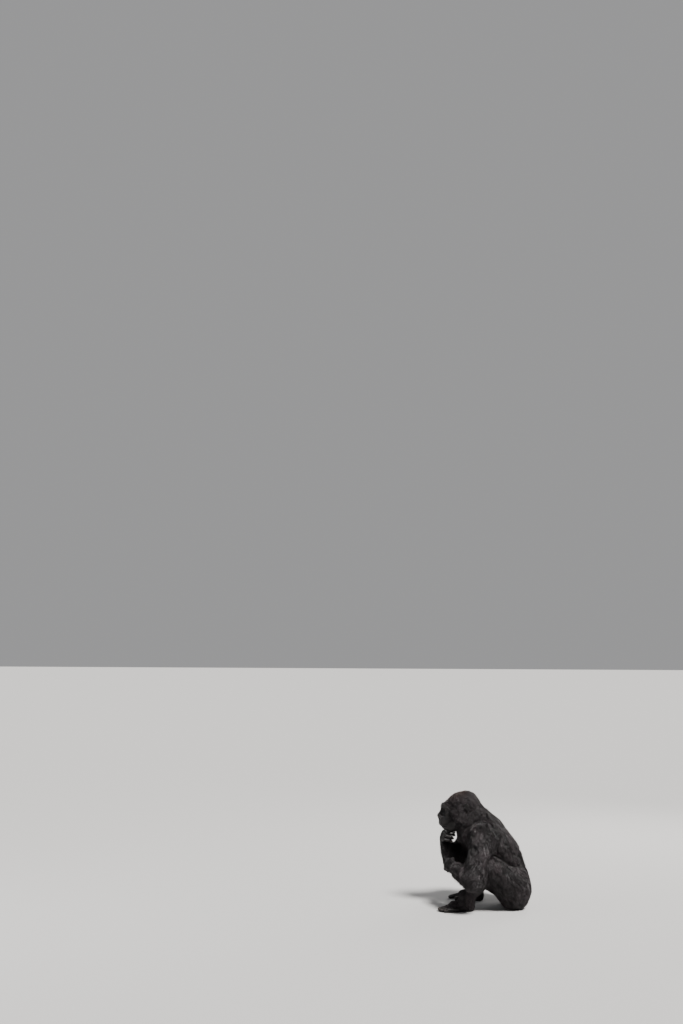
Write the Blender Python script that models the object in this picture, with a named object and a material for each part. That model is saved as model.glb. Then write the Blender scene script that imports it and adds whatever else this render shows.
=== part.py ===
"""A life-size mountain gorilla that sits on its rump, knees raised, with its right hand at its mouth.

The outline is the surface of the coat. It is worked out as one signed distance to the whole body, from
rounded shapes named after what they are, and turned into a mesh. Thin flat cuts then part it at the
joints, so each piece of the body is a closed solid of its own, about CUT clear of the next.

The animal faces -Y, its left side is +X, and it rests on the floor at Z = 0.
"""
import math

import bmesh
import bpy
import numpy as np
import openvdb
from mathutils import Euler, Matrix, Vector

CELL = 0.004                # grid that the outline is read on
FINE_TRIANGLES = 8000       # in the whole outline, if all of it were as fine as the face and hands
TRIANGLES = 4960            # in the whole outline, before the cuts
FINE_ROUND_FACE, FINE_ROUND_HAND = 0.135, 0.075     # reach of the finer triangles
BELOW_FLOOR = 0.010         # how far the outline goes down before it is cut flat at the floor
CUT = 0.0005                # clear width between two pieces
ORIGIN = (0.0316, -0.0055, 0)    # the middle of the finished animal's box, at the floor
CREASE = 0.008              # clear width where two limbs press on each other
EYE_RADIUS = 0.0125
EYE_GAP = 0.0003            # round an eyeball
BODY_LOW, BODY_HIGH = (-0.40, -0.38, -0.02), (0.44, 0.36, 0.82)

FAR = 0.10                  # distance kept where no shape is near
REACH = 0.03                # how far beyond its surface a shape is worked out

COAT = dict(colour=(0.070, 0.058, 0.056), roughness=0.85)
BARE_SKIN = dict(colour=(0.045, 0.036, 0.034), roughness=0.50)
EYE = dict(colour=(0.030, 0.012, 0.006), roughness=0.08)
BARE = ("ear", "fingers", "toes")           # pieces with hardly any hair


# ---------------------------------------------------------------- shapes

class Rod:
    """A chain of tapered rods with round ends, through points with a radius at each."""

    def __init__(self, points, radii, coat=0.0, blend=0.02):
        self.points = [np.array(p, np.float32) for p in points]
        self.radii = radii
        self.coat, self.blend = coat, blend

    def box(self, reach):
        low = np.min([p - r for p, r in zip(self.points, self.radii)], axis=0)
        high = np.max([p + r for p, r in zip(self.points, self.radii)], axis=0)
        return low - reach, high + reach

    def distance(self, x, y, z, coated):
        nearest = None
        for a, b, ra, rb in zip(self.points, self.points[1:], self.radii, self.radii[1:]):
            d = b - a
            px, py, pz = x - a[0], y - a[1], z - a[2]
            t = np.clip((px * d[0] + py * d[1] + pz * d[2]) / float(d @ d), 0, 1)
            px, py, pz = px - t * d[0], py - t * d[1], pz - t * d[2]
            gap = np.sqrt(px * px + py * py + pz * pz) - (ra + t * (rb - ra))
            nearest = gap if nearest is None else np.minimum(nearest, gap)
        return nearest - self.coat * coated


class Egg:
    """An ellipsoid, its three radii along the columns of axes."""

    def __init__(self, centre, radii, coat=0.0, blend=0.03, axes=None):
        self.centre = np.array(centre, np.float32)
        self.radii = np.array(radii, np.float32)
        self.axes = np.array(np.eye(3) if axes is None else axes, np.float32)
        self.coat, self.blend = coat, blend

    def box(self, reach):
        half = np.sqrt(((self.axes * self.radii) ** 2).sum(1))
        return self.centre - half - reach, self.centre + half + reach

    def distance(self, x, y, z, coated):
        x, y, z = x - self.centre[0], y - self.centre[1], z - self.centre[2]
        radii = self.radii + self.coat * coated
        near = far = 0
        for axis, radius in zip(self.axes.T, radii):
            w = x * axis[0] + y * axis[1] + z * axis[2]
            near = near + (w / radius) ** 2
            far = far + (w / radius ** 2) ** 2
        near = np.sqrt(near)
        return near * (near - 1) / np.maximum(np.sqrt(far), 1e-6)


def soft_min(a, b, blend):
    """The lower of two distances, rounded where they are within blend of each other."""
    h = np.maximum(blend - np.abs(a - b), 0) / blend
    return np.minimum(a, b) - h * h * blend / 4


def soft_max(a, b, blend):
    return -soft_min(-a, -b, blend)


def frame_of(along, up_hint):
    """Three columns at right angles: side, along, up."""
    along = Vector(along).normalized()
    side = along.cross(Vector(up_hint)).normalized()
    return np.array([side, along, side.cross(along)]).T


def heading_and_back(start, tip, up_hint):
    """The way from start to tip, and the direction square to it that is nearest to up_hint."""
    heading = (tip - start) / np.linalg.norm(tip - start)
    back = up_hint - heading * (up_hint @ heading)
    return heading, back / np.linalg.norm(back)


def turned(about_x=0, about_y=0, about_z=0):
    """A turn in degrees about each axis, as columns."""
    turn = Euler([math.radians(a) for a in (about_x, about_y, about_z)]).to_matrix()
    return np.array(turn)


# ---------------------------------------------------------------- trunk

def trunk():
    """Pelvis, belly, rib cage, shoulders and neck, leaning forward over the thighs."""
    spine = frame_of((0, -0.44, 0.90), (0, 0.90, 0.44))
    shapes = [
        Egg((0, 0.185, 0.150), (0.158, 0.098, 0.125), 0.028, 0.05),            # pelvis
        Egg((0, 0.085, 0.250), (0.158, 0.150, 0.145), 0.022, 0.07),            # belly
        Egg((0, 0.100, 0.345), (0.140, 0.112, 0.115), 0.032, 0.06),            # loins
        Egg((0, 0.028, 0.405), (0.166, 0.178, 0.116), 0.030, 0.07, spine),     # rib cage
        Egg((0, 0.022, 0.475), (0.158, 0.078, 0.082), 0.034, 0.05),            # upper back
        Rod([(0, 0.005, 0.495), (0, -0.094, 0.598)], [0.092, 0.074], 0.024, 0.06),          # neck
        Rod([(0, 0.000, 0.520), (0, -0.072, 0.630)], [0.060, 0.046], 0.026, 0.05),          # nape
        Egg((0, -0.120, 0.488), (0.074, 0.070, 0.074), 0.018, 0.05),           # throat, sunk on the breast
    ]
    for side, forward in ((1, 0), (-1, -0.036)):                                # the right shoulder reaches forward
        shapes += [
            Egg((side * 0.080, 0.192, 0.098), (0.086, 0.086, 0.098), 0.022, 0.04),          # buttock
            Egg((side * 0.193, forward, 0.482), (0.066, 0.068, 0.085), 0.032, 0.05),        # shoulder
            Egg((side * 0.085, -0.055 + forward / 2, 0.435), (0.085, 0.050, 0.070), 0.012, 0.04),  # breast muscle
            Egg((side * 0.118, 0.078, 0.400), (0.058, 0.068, 0.120), 0.034, 0.05),     # flank of the ribs
            Rod([(side * 0.06, -0.012 + forward / 3, 0.508), (side * 0.180, -0.002 + forward, 0.503)],
                [0.056, 0.062], 0.032, 0.05),                                        # top of the shoulder
        ]
    return shapes


# ---------------------------------------------------------------- head

HEAD_CENTRE = np.array((0, -0.126, 0.665))      # midway between the ears
HEAD_DOWN, HEAD_LEFT = math.radians(11), math.radians(2)

gaze = (math.sin(HEAD_LEFT) * math.cos(HEAD_DOWN), -math.cos(HEAD_LEFT) * math.cos(HEAD_DOWN),
        -math.sin(HEAD_DOWN))
HEAD_AXES = frame_of(gaze, (0, 0, 1)) * (-1, 1, 1)      # columns: to its left, forward, up


def on_head(left, forward, up):
    return HEAD_CENTRE + HEAD_AXES @ (left, forward, up)


def head_egg(centre, radii, coat=0.0, blend=0.02, turn=(0, 0, 0)):
    return Egg(on_head(*centre), radii, coat, blend, HEAD_AXES @ turned(*turn))


def head_rod(points, radii, coat=0.0, blend=0.02):
    return Rod([on_head(*p) for p in points], radii, coat, blend)


CROWN, CHEEK, FACE = 0.018, 0.016, 0.0015       # coat on the head


def head():
    shapes = [
        head_egg((0, 0.020, 0.025), (0.075, 0.086, 0.056), CROWN, 0.02),                # skull
        head_egg((0, 0.006, 0.046), (0.042, 0.068, 0.040), CROWN, 0.04),                # crown
        head_egg((0, -0.030, -0.012), (0.068, 0.042, 0.050), 0.018, 0.04),              # back of the skull
        head_egg((0, 0.094, 0.033), (0.058, 0.056, 0.029), 0.006, 0.03),                # forehead
        head_egg((0, 0.060, -0.085), (0.050, 0.070, 0.040), 0.014, 0.04),               # throat
        head_egg((0, 0.105, -0.020), (0.062, 0.055, 0.050), FACE, 0.03),                # middle of the face
        head_rod([(0, 0.153, 0.018), (0, 0.183, -0.022)], [0.0120, 0.0155], FACE, 0.02),  # bridge of the nose
        head_egg((0, 0.138, -0.066), (0.057, 0.064, 0.046), FACE, 0.03),                # muzzle
        head_egg((0, 0.130, -0.118), (0.047, 0.046, 0.027), 0.004, 0.03),               # chin
        head_egg((0, 0.169, -0.080), (0.047, 0.035, 0.0205), FACE, 0.016),              # upper lip
        head_egg((0, 0.157, -0.110), (0.045, 0.029, 0.0145), FACE, 0.016),              # lower lip
        head_egg((0, 0.180, -0.040), (0.033, 0.018, 0.021), FACE, 0.012),               # ball of the nose
        head_rod([(0, 0.197, -0.030), (0, 0.193, -0.062)], [0.0072, 0.0060], FACE, 0.006),  # between the nostrils
        head_rod([(-0.066, 0.104, -0.012), (-0.063, 0.124, 0.018), (-0.037, 0.151, 0.033), (0, 0.157, 0.028),
                  (0.037, 0.151, 0.033), (0.063, 0.124, 0.018), (0.066, 0.104, -0.012)],
                 [0.0100, 0.0125, 0.0155, 0.0140, 0.0155, 0.0125, 0.0100], FACE, 0.016),    # brow ridge
    ]
    for side in (1, -1):
        shapes += [
            head_egg((side * 0.044, 0.036, 0.032), (0.037, 0.064, 0.042), CROWN, 0.03),     # temple
            head_egg((side * 0.058, 0.048, -0.050), (0.031, 0.054, 0.048), CHEEK, 0.03),    # cheek
            head_rod([(side * 0.024, 0.118, -0.120), (side * 0.060, 0.018, -0.080)],
                     [0.024, 0.030], 0.014, 0.03),                                          # jaw
            head_rod([(side * 0.048, 0.130, -0.019), (side * 0.073, 0.090, -0.014)],
                     [0.0150, 0.016], 0.003, 0.02),                                         # cheekbone
            head_rod([(side * 0.073, 0.090, -0.014), (side * 0.070, 0.022, -0.005)],
                     [0.015, 0.010], 0.012, 0.02),                                  # cheekbone to the ear
            head_rod([(0, 0.195, -0.027), (side * 0.022, 0.192, -0.023), (side * 0.039, 0.178, -0.037),
                      (side * 0.034, 0.180, -0.058), (side * 0.018, 0.189, -0.065)],
                     [0.0092, 0.0104, 0.0100, 0.0066, 0.0040], FACE, 0.007),                # nostril's rim
        ]
    return shapes


def face_hollows():
    """Nostrils and eye sockets."""
    shapes = []
    for side in (1, -1):
        shapes += [head_egg((side * 0.0190, 0.201, -0.0440), (0.0118, 0.018, 0.0080), blend=0.004,
                            turn=(0, side * 28, 0)),
                   head_egg((side * 0.034, 0.160, 0.007), (0.021, 0.022, 0.0125), blend=0.012)]
    return shapes


def eyes():
    return {"L": on_head(0.0335, 0.1315, 0.008), "R": on_head(-0.0335, 0.1315, 0.008)}


def lids(side):
    """A shell over the eyeball, and the slit that opens it."""
    return (head_egg((side * 0.0335, 0.1315, 0.008), (0.0150, 0.0142, 0.0142), blend=0.006),
            head_egg((side * 0.0335, 0.1450, 0.0078), (0.0112, 0.0080, 0.0046), blend=0.0012,
                     turn=(0, side * 4, 0)))


EAR_TURN = math.radians(22)                     # that an ear stands out from the head
EAR_MIDDLE = (0.0915, -0.001, 0.005)
EAR_HALF_WIDTH, EAR_HALF_HEIGHT = 0.0165, 0.0235


def ear_curve(side, size, first, last, lift, steps=9):
    """Points round part of an ear, by angles that go from its front over the top to the lobe."""
    points = []
    for angle in (math.radians(first + (last - first) * k / steps) for k in range(steps + 1)):
        back, up = -math.cos(angle) * EAR_HALF_WIDTH * size, math.sin(angle) * EAR_HALF_HEIGHT * size
        points.append((side * (EAR_MIDDLE[0] + back * math.sin(EAR_TURN) + lift),
                       EAR_MIDDLE[1] - back * math.cos(EAR_TURN), EAR_MIDDLE[2] + up))
    return points


def ear(side):
    """A small shell with a rolled rim and an inner fold, close to the head."""
    rim = ear_curve(side, 1.0, 20, 250, 0.0015)
    fold = ear_curve(side, 0.56, 80, 245, 0.0035)
    return [
        head_egg((side * EAR_MIDDLE[0], *EAR_MIDDLE[1:]), (0.0042, EAR_HALF_WIDTH, EAR_HALF_HEIGHT),
                 blend=0.005, turn=(0, 0, side * math.degrees(EAR_TURN))),
        head_rod(rim, [0.0034] * len(rim), blend=0.003),
        head_rod(fold, [0.0026] * len(fold), blend=0.003),
        head_egg((side * 0.0895, 0.0135, 0.001), (0.0048, 0.0042, 0.0070), blend=0.004),  # before the ear's opening
        head_egg((side * 0.083, 0.003, 0.004), (0.010, 0.010, 0.014), blend=0.005),      # root of the ear
    ]


def ear_parting(side):
    """The hollow that the hair leaves round an ear."""
    return head_egg((side * 0.112, 0.001, 0.004), (0.034, 0.038, 0.046), blend=0.010)


# ---------------------------------------------------------------- joints

JOINTS = {
    "L": dict(biceps=(0, -1, 0.2), shoulder=(0.195, 0.000, 0.495), elbow=(0.325, -0.070, 0.225),
              wrist=(0.100, -0.232, 0.285),
              hip=(0.105, 0.195, 0.140), knee=(0.228, 0.020, 0.305), ankle=(0.172, -0.122, 0.088),
              heel=(0.166, -0.090, 0.0), foot=(0.16, -0.987, 0)),
    "R": dict(biceps=(0.28, 0.19, 0.94), shoulder=(-0.190, -0.048, 0.492), elbow=(-0.236, -0.212, 0.238),
              wrist=(-0.082, -0.264, 0.408),
              hip=(-0.105, 0.195, 0.140), knee=(-0.262, 0.030, 0.312), ankle=(-0.172, -0.062, 0.088),
              heel=(-0.165, -0.032, 0.0), foot=(-0.24, -0.971, 0)),
}


# ---------------------------------------------------------------- arms

SKIN = 0.0015                                   # coat on bare hands and feet
FINGERS = [                                     # across the palm, knuckle, three bones, radius
    (0.0330, 0.092, (0.046, 0.032, 0.022), 0.0112), (0.0115, 0.098, (0.052, 0.036, 0.023), 0.0118),
    (-0.0105, 0.096, (0.049, 0.034, 0.022), 0.0115), (-0.0310, 0.088, (0.041, 0.027, 0.020), 0.0105)]


HANDS = {                                       # down the palm, out of its back, bend at each finger joint
    "L": ((-0.92, -0.25, -0.12), (0.25, -0.88, 0.35), (38, 58, 38)),
    "R": ((0.80, -0.22, 0.57), (-0.25, -0.93, 0.12), (44, 60, 42)),
}


def hand_axes(name):
    """Columns: towards the thumb, down the palm, out of the back of the hand."""
    along, back, _ = HANDS[name]
    return frame_of(along, back) * ((1, 1, 1) if name == "L" else (-1, 1, 1))


def hand_place(name):
    """Where a point given across, down and out of a hand is."""
    axes, wrist = hand_axes(name), np.array(JOINTS[name]["wrist"])
    return lambda across, down, out: wrist + axes @ (across, down, out)


def hand(name, spread):
    """A half-closed hand, and the place, heading, back and radius of each finger's tip."""
    axes, at, curl, tips = hand_axes(name), hand_place(name), HANDS[name][2], []
    thumb, along, back = axes.T
    shapes = [Egg(at(0, 0.050, 0), (0.043, 0.056, 0.0205), 0.006, 0.025, axes),             # palm
              Egg(at(0, 0.088, 0.002), (0.044, 0.020, 0.0165), SKIN, 0.015, axes)]       # row of knuckles
    for across, knuckle, bones, radius in FINGERS:
        turn = math.radians(spread) * across / 0.011
        out_along = along * math.cos(turn) + thumb * math.sin(turn)
        points = [at(across * 0.8, knuckle - 0.045, 0.006), at(across, knuckle, 0.004)]
        radii = [0.008, radius * 1.12]
        angle = 0
        for length, bend in zip(bones, curl):
            angle += math.radians(bend)
            heading = out_along * math.cos(angle) - back * math.sin(angle)
            points += [points[-1] + heading * length / 2, points[-1] + heading * length]
            radii += [radius * 0.94, radius * 1.04]
            radius *= 0.95
        radii[-1] = radius * 0.90
        shapes.append(Rod(points, radii, SKIN, 0.006))
        tips.append((points[-1], heading, back * math.cos(angle) + out_along * math.sin(angle), radii[-1]))
    root, joint, bend, tip = (at(*p) for p in ((0.022, 0.022, -0.006), (0.044, 0.052, -0.016),
                                               (0.047, 0.080, -0.024), (0.040, 0.102, -0.032)))
    shapes += [Rod([root, joint], [0.019, 0.0135], SKIN, 0.015),
               Rod([joint, bend, tip], [0.0130, 0.0118, 0.0098], SKIN, 0.006)]
    tips.append((tip, *heading_and_back(bend, tip, thumb), 0.0098))
    return shapes, tips


def arm(shoulder, elbow, wrist, front):
    """Upper arm and forearm; front is the side of the upper arm that the biceps is on."""
    shoulder, elbow, wrist, front = map(np.array, (shoulder, elbow, wrist, front))
    upper, fore = elbow - shoulder, wrist - elbow
    return [
        Rod([shoulder, elbow], [0.060, 0.047], 0.034, 0.05),
        Rod([shoulder + upper * 0.25 + front * 0.012, shoulder + upper * 0.75 + front * 0.012],
            [0.050, 0.043], 0.032, 0.03),                                                   # biceps
        Rod([shoulder + upper * 0.20 - front * 0.014, shoulder + upper * 0.85 - front * 0.012],
            [0.048, 0.040], 0.034, 0.03),                                                   # triceps
        Rod([elbow, wrist], [0.044, 0.027], 0.026, 0.03),
        Rod([elbow + fore * 0.10, elbow + fore * 0.55], [0.047, 0.037], 0.034, 0.03),  # thick of the forearm
    ]


# ---------------------------------------------------------------- legs

TOES = [                                        # across the sole, root, two bones, radius
    (0.012, 0.152, (0.038, 0.028), 0.0120), (-0.009, 0.152, (0.038, 0.028), 0.0116),
    (-0.028, 0.145, (0.034, 0.026), 0.0110), (-0.045, 0.132, (0.030, 0.022), 0.0102)]


def foot_axes(name):
    """Columns: towards the great toe, along the sole, up."""
    return frame_of(JOINTS[name]["foot"], (0, 0, 1)) * ((1, 1, 1) if name == "L" else (-1, 1, 1))


def foot_place(name):
    """Where a point given across, along and above a sole is."""
    axes, heel = foot_axes(name), np.array(JOINTS[name]["heel"])
    return lambda across, down, above: heel + axes @ (across, down, above)


def foot(name):
    """A flat foot with its great toe turned out like a thumb, and its toes' tips as the fingers'."""
    axes, at, tips = foot_axes(name), foot_place(name), []
    up = axes.T[2]
    shapes = [Rod([at(0, 0.020, 0.030), at(0.002, 0.12, 0.034)], [0.034, 0.030], 0.006, 0.03),
              Egg(at(0, 0.105, 0.024), (0.044, 0.060, 0.025), 0.005, 0.02, axes)]       # ball of the foot
    for across, root, (first, second), radius in TOES:
        joint = at(across * 1.12, root + first, 0.0200)
        tip = at(across * 1.16, root + first + second * 0.93, 0.0110)
        shapes.append(Rod([at(across, root - 0.03, 0.018), joint, tip],
                          [radius * 1.15, radius, radius * 0.90], 0.0012, 0.007))
        tips.append((tip, *heading_and_back(joint, tip, up), radius * 0.90))
    root, joint, tip = at(0.026, 0.062, 0.022), at(0.058, 0.114, 0.020), at(0.071, 0.156, 0.0148)
    shapes += [Rod([root, joint], [0.020, 0.0160], 0.002, 0.018),
               Rod([joint, tip], [0.0160, 0.0134], 0.001, 0.006)]
    tips.append((tip, *heading_and_back(joint, tip, up), 0.0134))
    return shapes, tips


def leg(hip, knee, ankle, heel, along):
    hip, knee, ankle, heel, along = map(np.array, (hip, knee, ankle, heel, along))
    thigh, shank = knee - hip, ankle - knee
    return [
        Rod([hip, knee], [0.086, 0.054], 0.026, 0.05),
        Rod([hip + thigh * 0.3, hip + thigh * 0.8], [0.076, 0.058], 0.028, 0.03),     # thick of the thigh
        Rod([knee, ankle], [0.048, 0.031], 0.024, 0.03),
        Rod([knee + shank * 0.12 + (0, 0.018, 0), knee + shank * 0.60 + (0, 0.012, 0)],
            [0.046, 0.035], 0.026, 0.03),                                                   # calf
        Rod([ankle, heel + (0, 0, 0.034) + along * 0.035], [0.032, 0.033], 0.012, 0.03),    # heel
    ]


# ---------------------------------------------------------------- the whole body

def body():
    """Every limb as a list of shapes, and the tips of the fingers and toes."""
    limbs, tips = {"trunk": trunk(), "head": head()}, {}
    for name, spread in (("L", 3), ("R", 2)):
        j = JOINTS[name]
        palm, tips["hand_" + name] = hand(name, spread)
        sole, tips["foot_" + name] = foot(name)
        limbs["arm_" + name] = arm(j["shoulder"], j["elbow"], j["wrist"], j["biceps"]) + palm
        limbs["leg_" + name] = leg(j["hip"], j["knee"], j["ankle"], j["heel"], j["foot"]) + sole
    return limbs, tips


# Round each of these centres, within the radius, a limb is one with the trunk and blends over the width.
ROOTS = {"head": ((0, -0.060, 0.600), 0.18, 0.030),
         "arm_L": ((0.19, 0, 0.49), 0.13, 0.050), "arm_R": ((-0.185, -0.036, 0.49), 0.13, 0.050),
         "leg_L": ((0.10, 0.195, 0.15), 0.15, 0.060), "leg_R": ((-0.10, 0.195, 0.15), 0.15, 0.060)}


# ---------------------------------------------------------------- the outline

class Grid:
    """Points on a regular grid over the body."""

    def __init__(self, low, high, cell):
        self.low, self.cell = np.array(low), cell
        self.counts = np.ceil((np.array(high) - low) / cell).astype(int) + 1
        x, y, z = ((low[i] + cell * np.arange(self.counts[i])).astype(np.float32) for i in range(3))
        self.x, self.y, self.z = x[:, None, None], y[None, :, None], z[None, None, :]

    def near(self, shape, reach):
        """The block of the grid round a shape, and its coordinates."""
        low, high = shape.box(reach)
        first = np.clip(np.floor((low - self.low) / self.cell).astype(int), 0, self.counts)
        last = np.clip(np.ceil((high - self.low) / self.cell).astype(int) + 1, 0, self.counts)
        block = tuple(slice(a, b) for a, b in zip(first, last))
        return block, (self.x[block[0]], self.y[:, block[1]], self.z[:, :, block[2]])


def add(grid, field, shapes, coated):
    for shape in shapes:
        block, points = grid.near(shape, shape.blend + shape.coat + REACH)
        field[block] = soft_min(field[block], shape.distance(*points, coated), shape.blend)
    return field


def hollow(grid, field, shapes):
    for shape in shapes:
        block, points = grid.near(shape, shape.blend + REACH)
        field[block] = soft_max(field[block], -shape.distance(*points, 0), shape.blend)
    return field


def join(grid, body_field, limb_field, root):
    """A limb grown out of the body at its root. Elsewhere the body gives way to it by a crease."""
    centre, radius, blend = root
    x, y, z = grid.x - centre[0], grid.y - centre[1], grid.z - centre[2]
    depth = np.maximum(radius - np.sqrt(x * x + y * y + z * z), 0)
    body_field = soft_max(body_field, CREASE - limb_field - 3 * depth, 0.006)
    return soft_min(body_field, limb_field, 0.004 + blend * np.minimum(depth / 0.06, 1))


def outline(grid, coated=1):
    """Signed distance to the tips of the coat: below zero inside."""
    limbs, _ = body()
    fields = {name: add(grid, np.full(grid.counts, FAR, np.float32), shapes, coated)
              for name, shapes in limbs.items()}
    for name in ("arm_L", "head"):                          # the raised hand keeps clear of both
        fields["arm_R"] = soft_max(fields["arm_R"], CREASE - fields[name], 0.006)
    whole = fields["trunk"]
    for name, root in ROOTS.items():
        whole = join(grid, whole, fields[name], root)
    skull = add(grid, np.full(grid.counts, FAR, np.float32), limbs["head"], 0)
    whole = np.minimum(hollow(grid, whole, [ear_parting(1), ear_parting(-1)]), skull)
    whole = hollow(grid, whole, face_hollows())
    whole = add(grid, whole, ear(1) + ear(-1), 0)
    return np.maximum(whole, -BELOW_FLOOR - grid.z)


# ---------------------------------------------------------------- meshes

def largest_islands(mesh):
    """The closed bodies in a mesh, as separate meshes, largest first."""
    whole = bmesh.new()
    whole.from_mesh(mesh)
    left, islands = set(whole.verts), []
    while left:
        island, edge = set(), [left.pop()]
        while edge:
            vert = edge.pop()
            island.add(vert)
            for link in vert.link_edges:
                other = link.other_vert(vert)
                if other in left:
                    left.remove(other)
                    edge.append(other)
        islands.append(island)
    meshes = []
    for island in sorted(islands, key=len, reverse=True):
        part = whole.copy()
        keep = {vert.index for vert in island}
        bmesh.ops.delete(part, geom=[vert for vert in part.verts if vert.index not in keep], context="VERTS")
        out = bpy.data.meshes.new("body")
        part.to_mesh(out)
        part.free()
        meshes.append(out)
    whole.free()
    return meshes


def add_object(name, mesh):
    thing = bpy.data.objects.new(name, mesh)
    bpy.context.collection.objects.link(thing)
    return thing


def evaluated(thing):
    """The mesh of an object with its modifiers, and the object gone."""
    bpy.context.view_layer.update()
    mesh = bpy.data.meshes.new_from_object(thing.evaluated_get(bpy.context.evaluated_depsgraph_get()))
    bpy.data.objects.remove(thing)
    return mesh


def slab_under_floor():
    """The animal rests on small flats, all at the level of the floor."""
    mesh = bpy.data.meshes.new("slab")
    slab = bmesh.new()
    bmesh.ops.create_cube(slab, size=1, matrix=Matrix.Translation((0, 0, -BELOW_FLOOR)) @ Matrix.Diagonal(
        (2, 2, 2 * BELOW_FLOOR, 1)))
    slab.to_mesh(mesh)
    slab.free()
    return add_object("slab", mesh)


def plain_parts(thing):
    """A vertex group with all of the animal but its face, ears and hands."""
    group = thing.vertex_groups.new(name="plain")
    points = np.array([vert.co for vert in thing.data.vertices])
    plain = np.linalg.norm(points - on_head(0, 0.05, 0), axis=1) > FINE_ROUND_FACE
    for name in JOINTS:
        plain &= np.linalg.norm(points - hand_place(name)(0, 0.09, 0), axis=1) > FINE_ROUND_HAND
    group.add(np.flatnonzero(plain).tolist(), 1.0, "REPLACE")
    return group


def whole_animal():
    """The outline of the coat as one mesh."""
    grid = Grid(BODY_LOW, BODY_HIGH, CELL)
    volume = openvdb.FloatGrid(FAR)
    volume.copyFromArray(outline(grid))
    points, quads = volume.convertToQuads(0.0)
    mesh = bpy.data.meshes.new("outline")
    mesh.from_pydata((points * CELL + grid.low).tolist(), [], quads.tolist())
    thing = add_object("outline", largest_islands(mesh)[0])
    group, faces = plain_parts(thing), 2 * len(quads)
    for parts, target in (("", FINE_TRIANGLES), (group.name, TRIANGLES)):
        thin = thing.modifiers.new("thin", "DECIMATE")
        thin.ratio, thin.vertex_group = target / faces, parts
        faces = target
    return less(evaluated(thing), slab_under_floor())


def less(mesh, cutter):
    """The mesh with the cutter's shape taken out of it."""
    cutter.hide_render, cutter.display_type = True, "WIRE"
    thing = add_object("piece", mesh)
    cut = thing.modifiers.new("cut", "BOOLEAN")
    cut.operation, cut.solver, cut.object = "DIFFERENCE", "EXACT", cutter
    out = evaluated(thing)
    bpy.data.objects.remove(cutter)
    return out


def cutting_disc(centre, normal, radius):
    mesh = bpy.data.meshes.new("disc")
    disc = bmesh.new()
    bmesh.ops.create_cone(disc, cap_ends=True, segments=32, radius1=radius, radius2=radius, depth=CUT)
    disc.to_mesh(mesh)
    disc.free()
    cutter = add_object("disc", mesh)
    turn = Vector(normal).to_track_quat("Z", "Y").to_matrix().to_4x4()
    cutter.matrix_world = Matrix.Translation(centre) @ turn
    return cutter


def part_off(pieces, source, new, centre, normal, radius):
    """Cuts source through with a disc. What lies on the side that normal points to becomes new."""
    centre, normal = np.array(centre, float), np.array(Vector(normal).normalized())
    solids = largest_islands(less(pieces.pop(source), cutting_disc(centre, normal, radius)))[:2]

    def faces_forward(mesh):
        points = np.array([vert.co for vert in mesh.vertices]) - centre
        height = points @ normal
        rim = np.linalg.norm(points - height[:, None] * normal, axis=1) < radius
        return ((np.abs(height - CUT / 2) < CUT / 10) & rim).sum()

    solids.sort(key=faces_forward)
    pieces[source], pieces[new] = solids


def between(a, b, share):
    return np.array(a) * (1 - share) + np.array(b) * share


def joint_plane(before, after):
    """The way that a bent limb faces at its joint."""
    return Vector(before).normalized() + Vector(after).normalized()


# ---------------------------------------------------------------- the cuts

def cut_up(mesh):
    """Parts the animal at its joints. What is left at the end is the pelvis, with the belly."""
    pieces = {"pelvis": mesh}
    for name, side in (("L", 1), ("R", -1)):
        j = {key: np.array(value) for key, value in JOINTS[name].items()}
        thigh, shank = j["knee"] - j["hip"], j["ankle"] - j["knee"]
        part_off(pieces, "pelvis", "thigh_" + name, between(j["hip"], j["knee"], 0.43), thigh, 0.121)
        part_off(pieces, "thigh_" + name, "shank_" + name, j["knee"], joint_plane(thigh, shank), 0.25)
        part_off(pieces, "shank_" + name, "foot_" + name, j["ankle"] + (0, 0, 0.006), shank, 0.075)
        on_foot = foot_place(name)
        part_off(pieces, "foot_" + name, "great_toe_" + name, on_foot(0.0645, 0.134, 0.018), on_foot(0.013, 0.042, 0)
                 - on_foot(0, 0, 0), 0.022)
        part_off(pieces, "foot_" + name, "toes_" + name, on_foot(-0.018, 0.150, 0.018), j["foot"], 0.0605)
    for name, side in (("L", 1), ("R", -1)):
        j = {key: np.array(value) for key, value in JOINTS[name].items()}
        upper, fore = j["elbow"] - j["shoulder"], j["wrist"] - j["elbow"]
        part_off(pieces, "pelvis", "upper_arm_" + name, between(j["shoulder"], j["elbow"], 0.44), upper, 0.108)
        part_off(pieces, "upper_arm_" + name, "forearm_" + name, j["elbow"], joint_plane(upper, fore), 0.24)
        part_off(pieces, "forearm_" + name, "hand_" + name, j["wrist"], fore, 0.070)
        on_hand = hand_place(name)
        part_off(pieces, "hand_" + name, "fingers_" + name, on_hand(0.007, 0.086, -0.004), HANDS[name][0], 0.060)
    part_off(pieces, "pelvis", "head", (0, -0.100, 0.600), (0, -0.80, 0.60), 0.180)
    part_off(pieces, "pelvis", "neck", (0, -0.030, 0.585), (0, -0.60, 0.80), 0.30)
    part_off(pieces, "pelvis", "chest", (0, 0.080, 0.335), (0, -0.30, 0.95), 0.35)
    for name, side in (("L", 1), ("R", -1)):
        part_off(pieces, "head", "ear_" + name, on_head(side * 0.0892, 0, 0.004), HEAD_AXES @ (side, 0, 0), 0.028)
    return pieces


def add_eyes(pieces):
    for name, centre in eyes().items():
        for radius in (EYE_RADIUS + EYE_GAP, EYE_RADIUS):
            mesh = bpy.data.meshes.new("eye")
            ball = bmesh.new()
            bmesh.ops.create_icosphere(ball, subdivisions=2, radius=radius, matrix=Matrix.Translation(centre))
            ball.to_mesh(mesh)
            ball.free()
            if radius > EYE_RADIUS:
                pieces["head"] = less(pieces["head"], add_object("socket", mesh))
        pieces["eye_" + name] = mesh


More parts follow.
